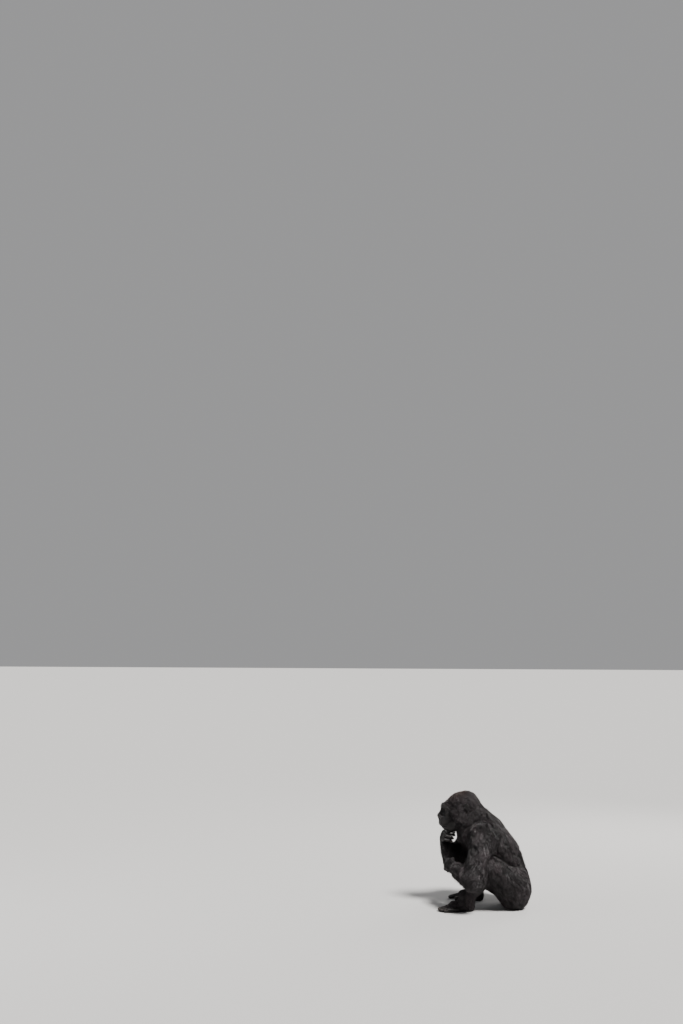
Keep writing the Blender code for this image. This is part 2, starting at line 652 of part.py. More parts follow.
def finish(name, mesh):
    """Names a piece, gives it its material and shades it smooth but for the edges of its cuts."""
    look = EYE if name.startswith("eye") else BARE_SKIN if name.startswith(BARE) else COAT
    material = bpy.data.materials.new(name)
    material.use_nodes = True
    shader = material.node_tree.nodes["Principled BSDF"]
    shader.inputs["Base Color"].default_value = (*look["colour"], 1)
    shader.inputs["Roughness"].default_value = look["roughness"]
    shader.inputs["Metallic"].default_value = 0.0
    mesh.materials.clear()
    mesh.materials.append(material)
    mesh.name = name
    mesh.transform(Matrix.Translation(ORIGIN).inverted())
    mesh.shade_smooth()
    mesh.set_sharp_from_angle(angle=math.radians(60))
    add_object(name, mesh)


for thing in list(bpy.data.objects):
    bpy.data.objects.remove(thing)
solids = cut_up(whole_animal())
add_eyes(solids)
for piece_name, solid in solids.items():
    finish(piece_name, solid)
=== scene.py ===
"""A gorilla sitting on its rump, built as a museum builds one: skin, then eyes, nails and coat."""

import math

import bmesh
import bpy
import numpy as np
import openvdb
from mathutils import Euler, Matrix, Vector, kdtree


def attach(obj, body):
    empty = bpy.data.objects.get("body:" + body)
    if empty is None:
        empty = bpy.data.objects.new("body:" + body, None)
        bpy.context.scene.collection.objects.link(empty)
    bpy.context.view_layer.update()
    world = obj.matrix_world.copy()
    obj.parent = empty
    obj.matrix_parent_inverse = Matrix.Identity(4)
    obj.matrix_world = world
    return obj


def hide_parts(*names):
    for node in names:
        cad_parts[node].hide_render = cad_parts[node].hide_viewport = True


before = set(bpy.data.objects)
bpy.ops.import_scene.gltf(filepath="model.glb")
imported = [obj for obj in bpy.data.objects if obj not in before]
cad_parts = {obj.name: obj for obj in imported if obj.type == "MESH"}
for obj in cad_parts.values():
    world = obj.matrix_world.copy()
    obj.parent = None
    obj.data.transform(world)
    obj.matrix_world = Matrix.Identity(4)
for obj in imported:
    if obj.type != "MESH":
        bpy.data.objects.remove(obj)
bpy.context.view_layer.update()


# ---------------------------------------------------------------- skin

# The skin is one closed sheet over the whole animal: black, close-grained, and bare on the face, ears, hands
# and feet. It is modelled muscle by muscle, in eggs and rods that run softly into each other, and cast in one
# piece, with folds pressed in round the eyes, lips and knuckles.

class Rod:
    """A chain of tapered rods with round ends, through points with a radius at each."""

    def __init__(self, points, radii, coat=0.0, blend=0.02):
        self.points = [np.array(p, np.float32) for p in points]
        self.radii = radii
        self.coat, self.blend = coat, blend

    def box(self, reach):
        """Two corners of the box round it, with some room."""
        low = np.min([p - r for p, r in zip(self.points, self.radii)], axis=0)
        high = np.max([p + r for p, r in zip(self.points, self.radii)], axis=0)
        return low - reach, high + reach

    def distance(self, x, y, z, coated):
        """How far points are outside its skin, or outside its coat if coated is 1."""
        nearest = None
        for a, b, ra, rb in zip(self.points, self.points[1:], self.radii, self.radii[1:]):
            d = b - a
            px, py, pz = x - a[0], y - a[1], z - a[2]
            t = np.clip((px * d[0] + py * d[1] + pz * d[2]) / float(d @ d), 0, 1)
            px, py, pz = px - t * d[0], py - t * d[1], pz - t * d[2]
            gap = np.sqrt(px * px + py * py + pz * pz) - (ra + t * (rb - ra))
            nearest = gap if nearest is None else np.minimum(nearest, gap)
        return nearest - self.coat * coated


class Egg:
    """An ellipsoid, its three radii along the columns of axes."""

    def __init__(self, centre, radii, coat=0.0, blend=0.03, axes=None):
        self.centre = np.array(centre, np.float32)
        self.radii = np.array(radii, np.float32)
        self.axes = np.array(np.eye(3) if axes is None else axes, np.float32)
        self.coat, self.blend = coat, blend

    def box(self, reach):
        half = np.sqrt(((self.axes * self.radii) ** 2).sum(1))
        return self.centre - half - reach, self.centre + half + reach

    def distance(self, x, y, z, coated):
        x, y, z = x - self.centre[0], y - self.centre[1], z - self.centre[2]
        radii = self.radii + self.coat * coated
        near = far = 0
        for axis, radius in zip(self.axes.T, radii):
            w = x * axis[0] + y * axis[1] + z * axis[2]
            near = near + (w / radius) ** 2
            far = far + (w / radius ** 2) ** 2
        near = np.sqrt(near)
        return near * (near - 1) / np.maximum(np.sqrt(far), 1e-6)


def soft_min(a, b, blend):
    """The lower of two distances, rounded where they are within blend of each other."""
    h = np.maximum(blend - np.abs(a - b), 0) / blend
    return np.minimum(a, b) - h * h * blend / 4


def soft_max(a, b, blend):
    """The higher of two distances, rounded likewise."""
    return -soft_min(-a, -b, blend)


def frame_of(along, up_hint):
    """Three columns at right angles: side, along, up."""
    along = Vector(along).normalized()
    side = along.cross(Vector(up_hint)).normalized()
    return np.array([side, along, side.cross(along)]).T


def heading_and_back(start, tip, up_hint):
    """The way from start to tip, and the direction square to it that is nearest to up_hint."""
    heading = (tip - start) / np.linalg.norm(tip - start)
    back = up_hint - heading * (up_hint @ heading)
    return heading, back / np.linalg.norm(back)


def turned(about_x=0, about_y=0, about_z=0):
    """A turn in degrees about each axis, as columns."""
    turn = Euler([math.radians(a) for a in (about_x, about_y, about_z)]).to_matrix()
    return np.array(turn)


# The trunk

def trunk():
    """Pelvis, belly, rib cage, shoulders and neck, leaning forward over the thighs."""
    spine = frame_of((0, -0.44, 0.90), (0, 0.90, 0.44))
    shapes = [
        Egg((0, 0.185, 0.150), (0.158, 0.098, 0.125), 0.028, 0.05),  # pelvis
        Egg((0, 0.085, 0.250), (0.158, 0.150, 0.145), 0.022, 0.07),  # belly
        Egg((0, 0.100, 0.345), (0.140, 0.112, 0.115), 0.032, 0.06),  # loins
        Egg((0, 0.028, 0.405), (0.166, 0.178, 0.116), 0.030, 0.07, spine),  # rib cage
        Egg((0, 0.022, 0.475), (0.158, 0.078, 0.082), 0.034, 0.05),  # upper back
        Rod([(0, 0.005, 0.495), (0, -0.094, 0.598)], [0.092, 0.074], 0.024, 0.06),  # neck
        Rod([(0, 0.000, 0.520), (0, -0.072, 0.630)], [0.060, 0.046], 0.026, 0.05),  # nape
        Egg((0, -0.120, 0.488), (0.074, 0.070, 0.074), 0.018, 0.05),  # throat, sunk on the breast
    ]
    for side, forward in ((1, 0), (-1, -0.036)):  # the right shoulder reaches forward
        shapes += [
            Egg((side * 0.080, 0.192, 0.098), (0.086, 0.086, 0.098), 0.022, 0.04),  # buttock
            Egg((side * 0.193, forward, 0.482), (0.066, 0.068, 0.085), 0.032, 0.05),  # shoulder
            Egg((side * 0.085, -0.055 + forward / 2, 0.435), (0.085, 0.050, 0.070), 0.012, 0.04),  # breast
            Egg((side * 0.118, 0.078, 0.400), (0.058, 0.068, 0.120), 0.034, 0.05),  # flank of the ribs
            Rod([(side * 0.06, -0.012 + forward / 3, 0.508), (side * 0.180, -0.002 + forward, 0.503)],
                [0.056, 0.062], 0.032, 0.05),  # top of the shoulder
        ]
    return shapes


# The head

HEAD_CENTRE = np.array((0, -0.126, 0.665))  # midway between the ears
HEAD_DOWN, HEAD_LEFT = math.radians(11), math.radians(2)

gaze = (math.sin(HEAD_LEFT) * math.cos(HEAD_DOWN), -math.cos(HEAD_LEFT) * math.cos(HEAD_DOWN),
        -math.sin(HEAD_DOWN))
HEAD_AXES = frame_of(gaze, (0, 0, 1)) * (-1, 1, 1)  # columns: to its left, forward, up


def on_head(left, forward, up):
    """Where a point given from the middle of the head is."""
    return HEAD_CENTRE + HEAD_AXES @ (left, forward, up)


def head_egg(centre, radii, coat=0.0, blend=0.02, turn=(0, 0, 0)):
    """An egg given from the middle of the head."""
    return Egg(on_head(*centre), radii, coat, blend, HEAD_AXES @ turned(*turn))


def head_rod(points, radii, coat=0.0, blend=0.02):
    """A chain of rods given likewise."""
    return Rod([on_head(*p) for p in points], radii, coat, blend)


CROWN, CHEEK, FACE = 0.018, 0.016, 0.0015  # coat on the head


def head():
    """Skull, face and jaws."""
    shapes = [
        head_egg((0, 0.020, 0.025), (0.075, 0.086, 0.056), CROWN, 0.02),  # skull
        head_egg((0, 0.006, 0.046), (0.042, 0.068, 0.040), CROWN, 0.04),  # crown
        head_egg((0, -0.030, -0.012), (0.068, 0.042, 0.050), 0.018, 0.04),  # back of the skull
        head_egg((0, 0.094, 0.033), (0.058, 0.056, 0.029), 0.006, 0.03),  # forehead
        head_egg((0, 0.060, -0.085), (0.050, 0.070, 0.040), 0.014, 0.04),  # throat
        head_egg((0, 0.105, -0.020), (0.062, 0.055, 0.050), FACE, 0.03),  # middle of the face
        head_rod([(0, 0.153, 0.018), (0, 0.183, -0.022)], [0.0120, 0.0155], FACE, 0.02),  # bridge of the nose
        head_egg((0, 0.138, -0.066), (0.057, 0.064, 0.046), FACE, 0.03),  # muzzle
        head_egg((0, 0.130, -0.118), (0.047, 0.046, 0.027), 0.004, 0.03),  # chin
        head_egg((0, 0.169, -0.080), (0.047, 0.035, 0.0205), FACE, 0.016),  # upper lip
        head_egg((0, 0.157, -0.110), (0.045, 0.029, 0.0145), FACE, 0.016),  # lower lip
        head_egg((0, 0.180, -0.040), (0.033, 0.018, 0.021), FACE, 0.012),  # ball of the nose
        head_rod([(0, 0.197, -0.030), (0, 0.193, -0.062)], [0.0072, 0.0060], FACE, 0.006),  # below the nose
        head_rod([(-0.066, 0.104, -0.012), (-0.063, 0.124, 0.018), (-0.037, 0.151, 0.033), (0, 0.157, 0.028),
                  (0.037, 0.151, 0.033), (0.063, 0.124, 0.018), (0.066, 0.104, -0.012)],
                 [0.0100, 0.0125, 0.0155, 0.0140, 0.0155, 0.0125, 0.0100], FACE, 0.016),  # brow ridge
    ]
    for side in (1, -1):
        shapes += [
            head_egg((side * 0.044, 0.036, 0.032), (0.037, 0.064, 0.042), CROWN, 0.03),  # temple
            head_egg((side * 0.058, 0.048, -0.050), (0.031, 0.054, 0.048), CHEEK, 0.03),  # cheek
            head_rod([(side * 0.024, 0.118, -0.120), (side * 0.060, 0.018, -0.080)],
                     [0.024, 0.030], 0.014, 0.03),  # jaw
            head_rod([(side * 0.048, 0.130, -0.019), (side * 0.073, 0.090, -0.014)],
                     [0.0150, 0.016], 0.003, 0.02),  # cheekbone
            head_rod([(side * 0.073, 0.090, -0.014), (side * 0.070, 0.022, -0.005)],
                     [0.015, 0.010], 0.012, 0.02),  # cheekbone to the ear
            head_rod([(0, 0.195, -0.027), (side * 0.022, 0.192, -0.023), (side * 0.039, 0.178, -0.037),
                      (side * 0.034, 0.180, -0.058), (side * 0.018, 0.189, -0.065)],
                     [0.0092, 0.0104, 0.0100, 0.0066, 0.0040], FACE, 0.007),  # nostril's rim
        ]
    return shapes


def face_hollows():
    """Nostrils and eye sockets."""
    shapes = []
    for side in (1, -1):
        shapes += [head_egg((side * 0.0190, 0.201, -0.0440), (0.0118, 0.018, 0.0080), blend=0.004,
                            turn=(0, side * 28, 0)),
                   head_egg((side * 0.034, 0.160, 0.007), (0.021, 0.022, 0.0125), blend=0.012)]
    return shapes


EYE_SIDE, EYE_FORWARD, EYE_UP = 0.0335, 0.1315, 0.008  # the middle of the left eye, from that of the head


def eyes():
    """The middle of each eyeball."""
    return {"L": on_head(EYE_SIDE, EYE_FORWARD, EYE_UP), "R": on_head(-EYE_SIDE, EYE_FORWARD, EYE_UP)}


def lids(side):
    """A shell over the eyeball, and the slit that opens it."""
    return (head_egg((side * EYE_SIDE, EYE_FORWARD, EYE_UP), (0.0150, 0.0142, 0.0142), blend=0.006),
            head_egg((side * EYE_SIDE, 0.1450, 0.0078), (0.0112, 0.0080, 0.0046), blend=0.0012,
                     turn=(0, side * 4, 0)))


EAR_TURN = math.radians(22)  # that an ear stands out from the head
EAR_MIDDLE = (0.0915, -0.001, 0.005)
EAR_HALF_WIDTH, EAR_HALF_HEIGHT = 0.0165, 0.0235


def ear_curve(side, size, first, last, lift, steps=9):
    """Points round part of an ear, by angles that go from its front over the top to the lobe."""
    points = []
    for angle in (math.radians(first + (last - first) * k / steps) for k in range(steps + 1)):
        back, up = -math.cos(angle) * EAR_HALF_WIDTH * size, math.sin(angle) * EAR_HALF_HEIGHT * size
        points.append((side * (EAR_MIDDLE[0] + back * math.sin(EAR_TURN) + lift),
                       EAR_MIDDLE[1] - back * math.cos(EAR_TURN), EAR_MIDDLE[2] + up))
    return points


def ear(side):
    """A small shell with a rolled rim and an inner fold, close to the head."""
    rim = ear_curve(side, 1.0, 20, 250, 0.0015)
    fold = ear_curve(side, 0.56, 80, 245, 0.0035)
    return [
        head_egg((side * EAR_MIDDLE[0], *EAR_MIDDLE[1:]), (0.0042, EAR_HALF_WIDTH, EAR_HALF_HEIGHT),
                 blend=0.005, turn=(0, 0, side * math.degrees(EAR_TURN))),
        head_rod(rim, [0.0034] * len(rim), blend=0.003),
        head_rod(fold, [0.0026] * len(fold), blend=0.003),
        head_egg((side * 0.0895, 0.0135, 0.001), (0.0048, 0.0042, 0.0070), blend=0.004),  # front of the ear
        head_egg((side * 0.083, 0.003, 0.004), (0.010, 0.010, 0.014), blend=0.005),  # root of the ear
    ]


def ear_parting(side):
    """The hollow that the hair leaves round an ear."""
    return head_egg((side * 0.112, 0.001, 0.004), (0.034, 0.038, 0.046), blend=0.010)


# The arms and legs, from joint to joint

JOINTS = {
    "L": dict(biceps=(0, -1, 0.2), shoulder=(0.195, 0.000, 0.495), elbow=(0.325, -0.070, 0.225),
              wrist=(0.100, -0.232, 0.285),
              hip=(0.105, 0.195, 0.140), knee=(0.228, 0.020, 0.305), ankle=(0.172, -0.122, 0.088),
              heel=(0.166, -0.090, 0.0), foot=(0.16, -0.987, 0)),
    "R": dict(biceps=(0.28, 0.19, 0.94), shoulder=(-0.190, -0.048, 0.492), elbow=(-0.236, -0.212, 0.238),
              wrist=(-0.082, -0.264, 0.408),
              hip=(-0.105, 0.195, 0.140), knee=(-0.262, 0.030, 0.312), ankle=(-0.172, -0.062, 0.088),
              heel=(-0.165, -0.032, 0.0), foot=(-0.24, -0.971, 0)),
}


SKIN = 0.0015  # coat on bare hands and feet
FINGERS = [  # across the palm, knuckle, three bones, radius
    (0.0330, 0.092, (0.046, 0.032, 0.022), 0.0112), (0.0115, 0.098, (0.052, 0.036, 0.023), 0.0118),
    (-0.0105, 0.096, (0.049, 0.034, 0.022), 0.0115), (-0.0310, 0.088, (0.041, 0.027, 0.020), 0.0105)]


HANDS = {  # down the palm, out of its back, bend at each finger joint
    "L": ((-0.92, -0.25, -0.12), (0.25, -0.88, 0.35), (38, 58, 38)),
    "R": ((0.80, -0.22, 0.57), (-0.25, -0.93, 0.12), (44, 60, 42)),
}


def hand_axes(name):
    """Columns: towards the thumb, down the palm, out of the back of the hand."""
    along, back, _ = HANDS[name]
    return frame_of(along, back) * ((1, 1, 1) if name == "L" else (-1, 1, 1))


def hand_place(name):
    """Where a point given across, down and out of a hand is."""
    axes, wrist = hand_axes(name), np.array(JOINTS[name]["wrist"])
    return lambda across, down, out: wrist + axes @ (across, down, out)


def hand(name, spread):
    """A half-closed hand, and the place, heading, back and radius of each finger's tip."""
    axes, at, curl, tips = hand_axes(name), hand_place(name), HANDS[name][2], []
    thumb, along, back = axes.T
    shapes = [Egg(at(0, 0.050, 0), (0.043, 0.056, 0.0205), 0.006, 0.025, axes),  # palm
              Egg(at(0, 0.088, 0.002), (0.044, 0.020, 0.0165), SKIN, 0.015, axes)]  # row of knuckles
    for across, knuckle, bones, radius in FINGERS:
        turn = math.radians(spread) * across / 0.011
        out_along = along * math.cos(turn) + thumb * math.sin(turn)
        points = [at(across * 0.8, knuckle - 0.045, 0.006), at(across, knuckle, 0.004)]
        radii = [0.008, radius * 1.12]
        angle = 0
        for length, bend in zip(bones, curl):
            angle += math.radians(bend)
            heading = out_along * math.cos(angle) - back * math.sin(angle)
            points += [points[-1] + heading * length / 2, points[-1] + heading * length]
            radii += [radius * 0.94, radius * 1.04]
            radius *= 0.95
        radii[-1] = radius * 0.90
        shapes.append(Rod(points, radii, SKIN, 0.006))
        tips.append((points[-1], heading, back * math.cos(angle) + out_along * math.sin(angle), radii[-1]))
    root, joint, bend, tip = (at(*p) for p in ((0.022, 0.022, -0.006), (0.044, 0.052, -0.016),
                                               (0.047, 0.080, -0.024), (0.040, 0.102, -0.032)))
    shapes += [Rod([root, joint], [0.019, 0.0135], SKIN, 0.015),
               Rod([joint, bend, tip], [0.0130, 0.0118, 0.0098], SKIN, 0.006)]
    tips.append((tip, *heading_and_back(bend, tip, thumb), 0.0098))
    return shapes, tips


def arm(shoulder, elbow, wrist, front):
    """Upper arm and forearm; front is the side of the upper arm that the biceps is on."""
    shoulder, elbow, wrist, front = map(np.array, (shoulder, elbow, wrist, front))
    upper, fore = elbow - shoulder, wrist - elbow
    return [
        Rod([shoulder, elbow], [0.060, 0.047], 0.034, 0.05),
        Rod([shoulder + upper * 0.25 + front * 0.012, shoulder + upper * 0.75 + front * 0.012],
            [0.050, 0.043], 0.032, 0.03),  # biceps
        Rod([shoulder + upper * 0.20 - front * 0.014, shoulder + upper * 0.85 - front * 0.012],
            [0.048, 0.040], 0.034, 0.03),  # triceps
        Rod([elbow, wrist], [0.044, 0.027], 0.026, 0.03),
        Rod([elbow + fore * 0.10, elbow + fore * 0.55], [0.047, 0.037], 0.034, 0.03),  # thick of the forearm
    ]


TOES = [  # across the sole, root, two bones, radius
    (0.012, 0.152, (0.038, 0.028), 0.0120), (-0.009, 0.152, (0.038, 0.028), 0.0116),
    (-0.028, 0.145, (0.034, 0.026), 0.0110), (-0.045, 0.132, (0.030, 0.022), 0.0102)]


def foot_axes(name):
    """Columns: towards the great toe, along the sole, up."""
    return frame_of(JOINTS[name]["foot"], (0, 0, 1)) * ((1, 1, 1) if name == "L" else (-1, 1, 1))


def foot_place(name):
    """Where a point given across, along and above a sole is."""
    axes, heel = foot_axes(name), np.array(JOINTS[name]["heel"])
    return lambda across, down, above: heel + axes @ (across, down, above)


def foot(name):
    """A flat foot with its great toe turned out like a thumb, and its toes' tips as the fingers'."""
    axes, at, tips = foot_axes(name), foot_place(name), []
    up = axes.T[2]
    shapes = [Rod([at(0, 0.020, 0.030), at(0.002, 0.12, 0.034)], [0.034, 0.030], 0.006, 0.03),
              Egg(at(0, 0.105, 0.024), (0.044, 0.060, 0.025), 0.005, 0.02, axes)]  # ball of the foot
    for across, root, (first, second), radius in TOES:
        joint = at(across * 1.12, root + first, 0.0200)
        tip = at(across * 1.16, root + first + second * 0.93, 0.0110)
        shapes.append(Rod([at(across, root - 0.03, 0.018), joint, tip],
                          [radius * 1.15, radius, radius * 0.90], 0.0012, 0.007))
        tips.append((tip, *heading_and_back(joint, tip, up), radius * 0.90))
    root, joint, tip = at(0.026, 0.062, 0.022), at(0.058, 0.114, 0.020), at(0.071, 0.156, 0.0148)
    shapes += [Rod([root, joint], [0.020, 0.0160], 0.002, 0.018),
               Rod([joint, tip], [0.0160, 0.0134], 0.001, 0.006)]
    tips.append((tip, *heading_and_back(joint, tip, up), 0.0134))
    return shapes, tips


def leg(hip, knee, ankle, heel, along):
    """Thigh and shank, down to the heel; along is the way that the foot points."""
    hip, knee, ankle, heel, along = map(np.array, (hip, knee, ankle, heel, along))
    thigh, shank = knee - hip, ankle - knee
    return [
        Rod([hip, knee], [0.086, 0.054], 0.026, 0.05),
        Rod([hip + thigh * 0.3, hip + thigh * 0.8], [0.076, 0.058], 0.028, 0.03),  # thick of the thigh
        Rod([knee, ankle], [0.048, 0.031], 0.024, 0.03),
        Rod([knee + shank * 0.12 + (0, 0.018, 0), knee + shank * 0.60 + (0, 0.012, 0)],
            [0.046, 0.035], 0.026, 0.03),  # calf
        Rod([ankle, heel + (0, 0, 0.034) + along * 0.035], [0.032, 0.033], 0.012, 0.03),  # heel
    ]


# The whole body, and its surface with and without the coat

FINGER_SPREAD = {"L": 3, "R": 2}  # degrees from each finger to the next


def body():
    """Every limb as a list of shapes, and the tips of the fingers and toes."""
    limbs, tips = {"trunk": trunk(), "head": head()}, {}
    for name, spread in FINGER_SPREAD.items():
        j = JOINTS[name]
        palm, tips["hand_" + name] = hand(name, spread)
        sole, tips["foot_" + name] = foot(name)
        limbs["arm_" + name] = arm(j["shoulder"], j["elbow"], j["wrist"], j["biceps"]) + palm
        limbs["leg_" + name] = leg(j["hip"], j["knee"], j["ankle"], j["heel"], j["foot"]) + sole
    return limbs, tips


# Round each of these centres, within the radius, a limb is one with the trunk and blends over the width.
ROOTS = {"head": ((0, -0.060, 0.600), 0.18, 0.030),
         "arm_L": ((0.19, 0, 0.49), 0.13, 0.050), "arm_R": ((-0.185, -0.036, 0.49), 0.13, 0.050),
         "leg_L": ((0.10, 0.195, 0.15), 0.15, 0.060), "leg_R": ((-0.10, 0.195, 0.15), 0.15, 0.060)}


class Grid:
    """Points on a regular grid over the body."""

    def __init__(self, low, high, cell):
        self.low, self.cell = np.array(low), cell
        self.counts = np.ceil((np.array(high) - low) / cell).astype(int) + 1
        x, y, z = ((low[i] + cell * np.arange(self.counts[i])).astype(np.float32) for i in range(3))
        self.x, self.y, self.z = x[:, None, None], y[None, :, None], z[None, None, :]

    def near(self, shape, reach):
        """The block of the grid round a shape, and its coordinates."""
        low, high = shape.box(reach)
        first = np.clip(np.floor((low - self.low) / self.cell).astype(int), 0, self.counts)
        last = np.clip(np.ceil((high - self.low) / self.cell).astype(int) + 1, 0, self.counts)
        block = tuple(slice(a, b) for a, b in zip(first, last))
        return block, (self.x[block[0]], self.y[:, block[1]], self.z[:, :, block[2]])


REACH = 0.03  # how far beyond its surface a shape is worked out


def add(grid, field, shapes, coated):
    """A field of distances with shapes run into it."""
    for shape in shapes:
        block, points = grid.near(shape, shape.blend + shape.coat + REACH)
        field[block] = soft_min(field[block], shape.distance(*points, coated), shape.blend)
    return field


def hollow(grid, field, shapes):
    """A field of distances with shapes taken out of it."""
    for shape in shapes:
        block, points = grid.near(shape, shape.blend + REACH)
        field[block] = soft_max(field[block], -shape.distance(*points, 0), shape.blend)
    return field


CREASE, CREASE_EDGE = 0.008, 0.006  # clear width where two limbs press on each other, and its rounding
LEAST_BLEND, ROOT_RISE = 0.004, 0.06  # of limb with trunk, and the depth in a root where they blend fully


def join(grid, body_field, limb_field, root):
    """A limb grown out of the body at its root. Elsewhere the body gives way to it by a crease."""
    centre, radius, blend = root
    x, y, z = grid.x - centre[0], grid.y - centre[1], grid.z - centre[2]
    depth = np.maximum(radius - np.sqrt(x * x + y * y + z * z), 0)
    body_field = soft_max(body_field, CREASE - limb_field - 3 * depth, CREASE_EDGE)
    return soft_min(body_field, limb_field, LEAST_BLEND + blend * np.minimum(depth / ROOT_RISE, 1))


FAR = 0.10  # distance kept where no shape is near


def outline(grid, coated=1):
    """Signed distance to the tips of the coat: below zero inside."""
    limbs, _ = body()
    fields = {name: add(grid, np.full(grid.counts, FAR, np.float32), shapes, coated)
              for name, shapes in limbs.items()}
    for name in ("arm_L", "head"):  # the raised hand keeps clear of both
        fields["arm_R"] = soft_max(fields["arm_R"], CREASE - fields[name], CREASE_EDGE)
    whole = fields["trunk"]
    for name, root in ROOTS.items():
        whole = join(grid, whole, fields[name], root)
    skull = add(grid, np.full(grid.counts, FAR, np.float32), limbs["head"], 0)
    whole = np.minimum(hollow(grid, whole, [ear_parting(1), ear_parting(-1)]), skull)
    whole = hollow(grid, whole, face_hollows())
    whole = add(grid, whole, ear(1) + ear(-1), 0)
    return np.maximum(whole, -grid.z)


class Places:
    """Single points, used in place of a grid."""

    def __init__(self, points):
        self.counts = len(points)
        self.x, self.y, self.z = np.asarray(points, np.float32).T

    def near(self, shape, reach):
        """Which points are round a shape, and their coordinates."""
        low, high = shape.box(reach)
        inside = np.ones(self.counts, bool)
        for value, a, b in zip((self.x, self.y, self.z), low, high):
            inside &= (value > a) & (value < b)
        index = np.flatnonzero(inside)
        return index, (self.x[index], self.y[index], self.z[index])


def flesh(grid):
    """Signed distance to the bare skin, with the lids."""
    whole = outline(grid, 0)
    for side in (1, -1):
        shell, slit = lids(side)
        whole = hollow(grid, add(grid, whole, [shell], 0), [slit])
    return np.maximum(whole, -grid.z)


class Field:
    """Distances kept on a grid, to be read at any point."""

    def __init__(self, grid, values):
        self.low, self.cell, self.values = grid.low, grid.cell, values
        self.flat = values.ravel()
        self.stride = np.array((values.shape[1] * values.shape[2], values.shape[2], 1))

    def at(self, points):
        """Distances at points, each from the eight corners of its cell."""
        place = (points - self.low) / self.cell
        place = np.clip(place, 0, np.array(self.values.shape) - 1.001)
        corner = place.astype(np.int64)
        share = place - corner
        index = corner @ self.stride
        total = 0
        for bits in range(8):
            bit = np.array((bits & 1, bits >> 1 & 1, bits >> 2 & 1))
            weight = np.where(bit, share, 1 - share).prod(1)
            total = total + weight * self.flat[index + int(bit @ self.stride)]
        return total

    def slope(self, points, step=0.004):
        """Unit vectors away from the surface."""
        out = np.stack([self.at(points + step * way) - self.at(points - step * way) for way in np.eye(3)], 1)
        return out / np.maximum(np.linalg.norm(out, axis=1), 1e-9)[:, None]


BODY_BOX = (-0.376, -0.366, -0.012), (0.412, 0.336, 0.804)
SKIN_CELL, COAT_CELL = 0.003, 0.004

skin_grid = Grid(*BODY_BOX, SKIN_CELL)
skin_field = Field(skin_grid, flesh(skin_grid))
coat_grid = Grid(*BODY_BOX, COAT_CELL)
coat_field = Field(coat_grid, outline(coat_grid, 1))


def coat_depth(points):
    """How deep the coat is over points on the skin."""
    return np.maximum(-coat_field.at(points), 0)


def put_in_scene(name, data):
    """A new object that holds a mesh, a lamp or a camera."""
    thing = bpy.data.objects.new(name, data)
    bpy.context.scene.collection.objects.link(thing)
    return thing


def plain_mesh(thing):
    """The mesh of an object with its modifiers, and the object gone."""
    bpy.context.view_layer.update()
    mesh = bpy.data.meshes.new_from_object(thing.evaluated_get(bpy.context.evaluated_depsgraph_get()))
    bpy.data.objects.remove(thing)
    return mesh


def places_of(mesh):
    """Where the points of a mesh are."""
    out = np.empty(len(mesh.vertices) * 3, np.float32)
    mesh.vertices.foreach_get("co", out)
    return out.reshape(-1, 3)


def normals_of(mesh):
    """The way out of a mesh at each of its points."""
    out = np.empty(len(mesh.vertices) * 3, np.float32)
    mesh.vertex_normals.foreach_get("vector", out)
    return out.reshape(-1, 3)


def in_head(points):
    """Left, forward and up of the middle of the head."""
    return (points - HEAD_CENTRE) @ HEAD_AXES


UNDER_COAT, ON_HANDS_AND_FEET = 0.10, 0.46  # shares of the skin's triangles that are kept
FURRED = 0.005  # depth of coat from which the skin is thinned out


def skin_mesh():
    """The skin at the grid's own fineness where it is bare, and thinned under the coat."""
    volume = openvdb.FloatGrid(FAR)
    volume.copyFromArray(skin_field.values)
    points, quads = volume.convertToQuads(0.0)
    points = points * SKIN_CELL + skin_grid.low
    mesh = bpy.data.meshes.new("skin")
    mesh.from_pydata(points.tolist(), [], quads.tolist())
    thing = put_in_scene("skin", mesh)
    furred = coat_depth(points) > FURRED
    limbs = ~furred & ~on_face_and_ears(points)
    count = 2 * len(quads)
    for zone, share in ((furred, UNDER_COAT), (limbs, ON_HANDS_AND_FEET)):
        group = thing.vertex_groups.new(name="zone")
        group.add(np.flatnonzero(zone).tolist(), 1.0, "REPLACE")
        left = count - 2 * (1 - share) * zone[quads].all(1).sum()
        thin = thing.modifiers.new("thin", "DECIMATE")
        thin.vertex_group, thin.ratio = group.name, left / count
        count = left
    return plain_mesh(thing)


def on_face_and_ears(points):
    """Whether points are on the bare face or on an ear."""
    left, forward, up = in_head(points).T
    face = (forward > 0.085) & (np.abs(left) < 0.070) & (up > -0.135) & (up < 0.048)
    return face | (np.abs(left) > 0.078) & (np.abs(forward) < 0.026) & (np.abs(up - 0.005) < 0.034)


def on_lids_and_lips(points):
    """Whether points are on the eyelids or on the lips."""
    left, forward, up = in_head(points).T
    eye = (np.hypot(np.abs(left) - EYE_SIDE, up - 0.007) < 0.021) & (forward > 0.11)
    lips = (np.abs(left) < 0.054) & (np.abs(up + 0.099) < 0.009) & (forward > 0.135)
    return eye | lips


def on_joints(points):
    """The skin on the back of the joints of the fingers."""
    near = np.zeros(len(points), bool)
    for joint, _, back, radius in finger_joints():
        off = points - joint
        near |= ((off ** 2).sum(1) < (1.35 * radius) ** 2) & (off @ back > -0.1 * radius)
    return near


def finger_joints():
    """Place, heading, back and radius of each joint of the fingers."""
    for name in "LR":
        out_of_back = hand_axes(name)[:, 2]
        for shape in hand(name, FINGER_SPREAD[name])[0]:
            if isinstance(shape, Rod) and len(shape.points) > 3:
                for k in (1, 3, 5):
                    heading, back = heading_and_back(shape.points[k - 1], shape.points[k + 1], out_of_back)
                    yield shape.points[k], heading, back, shape.radii[k]


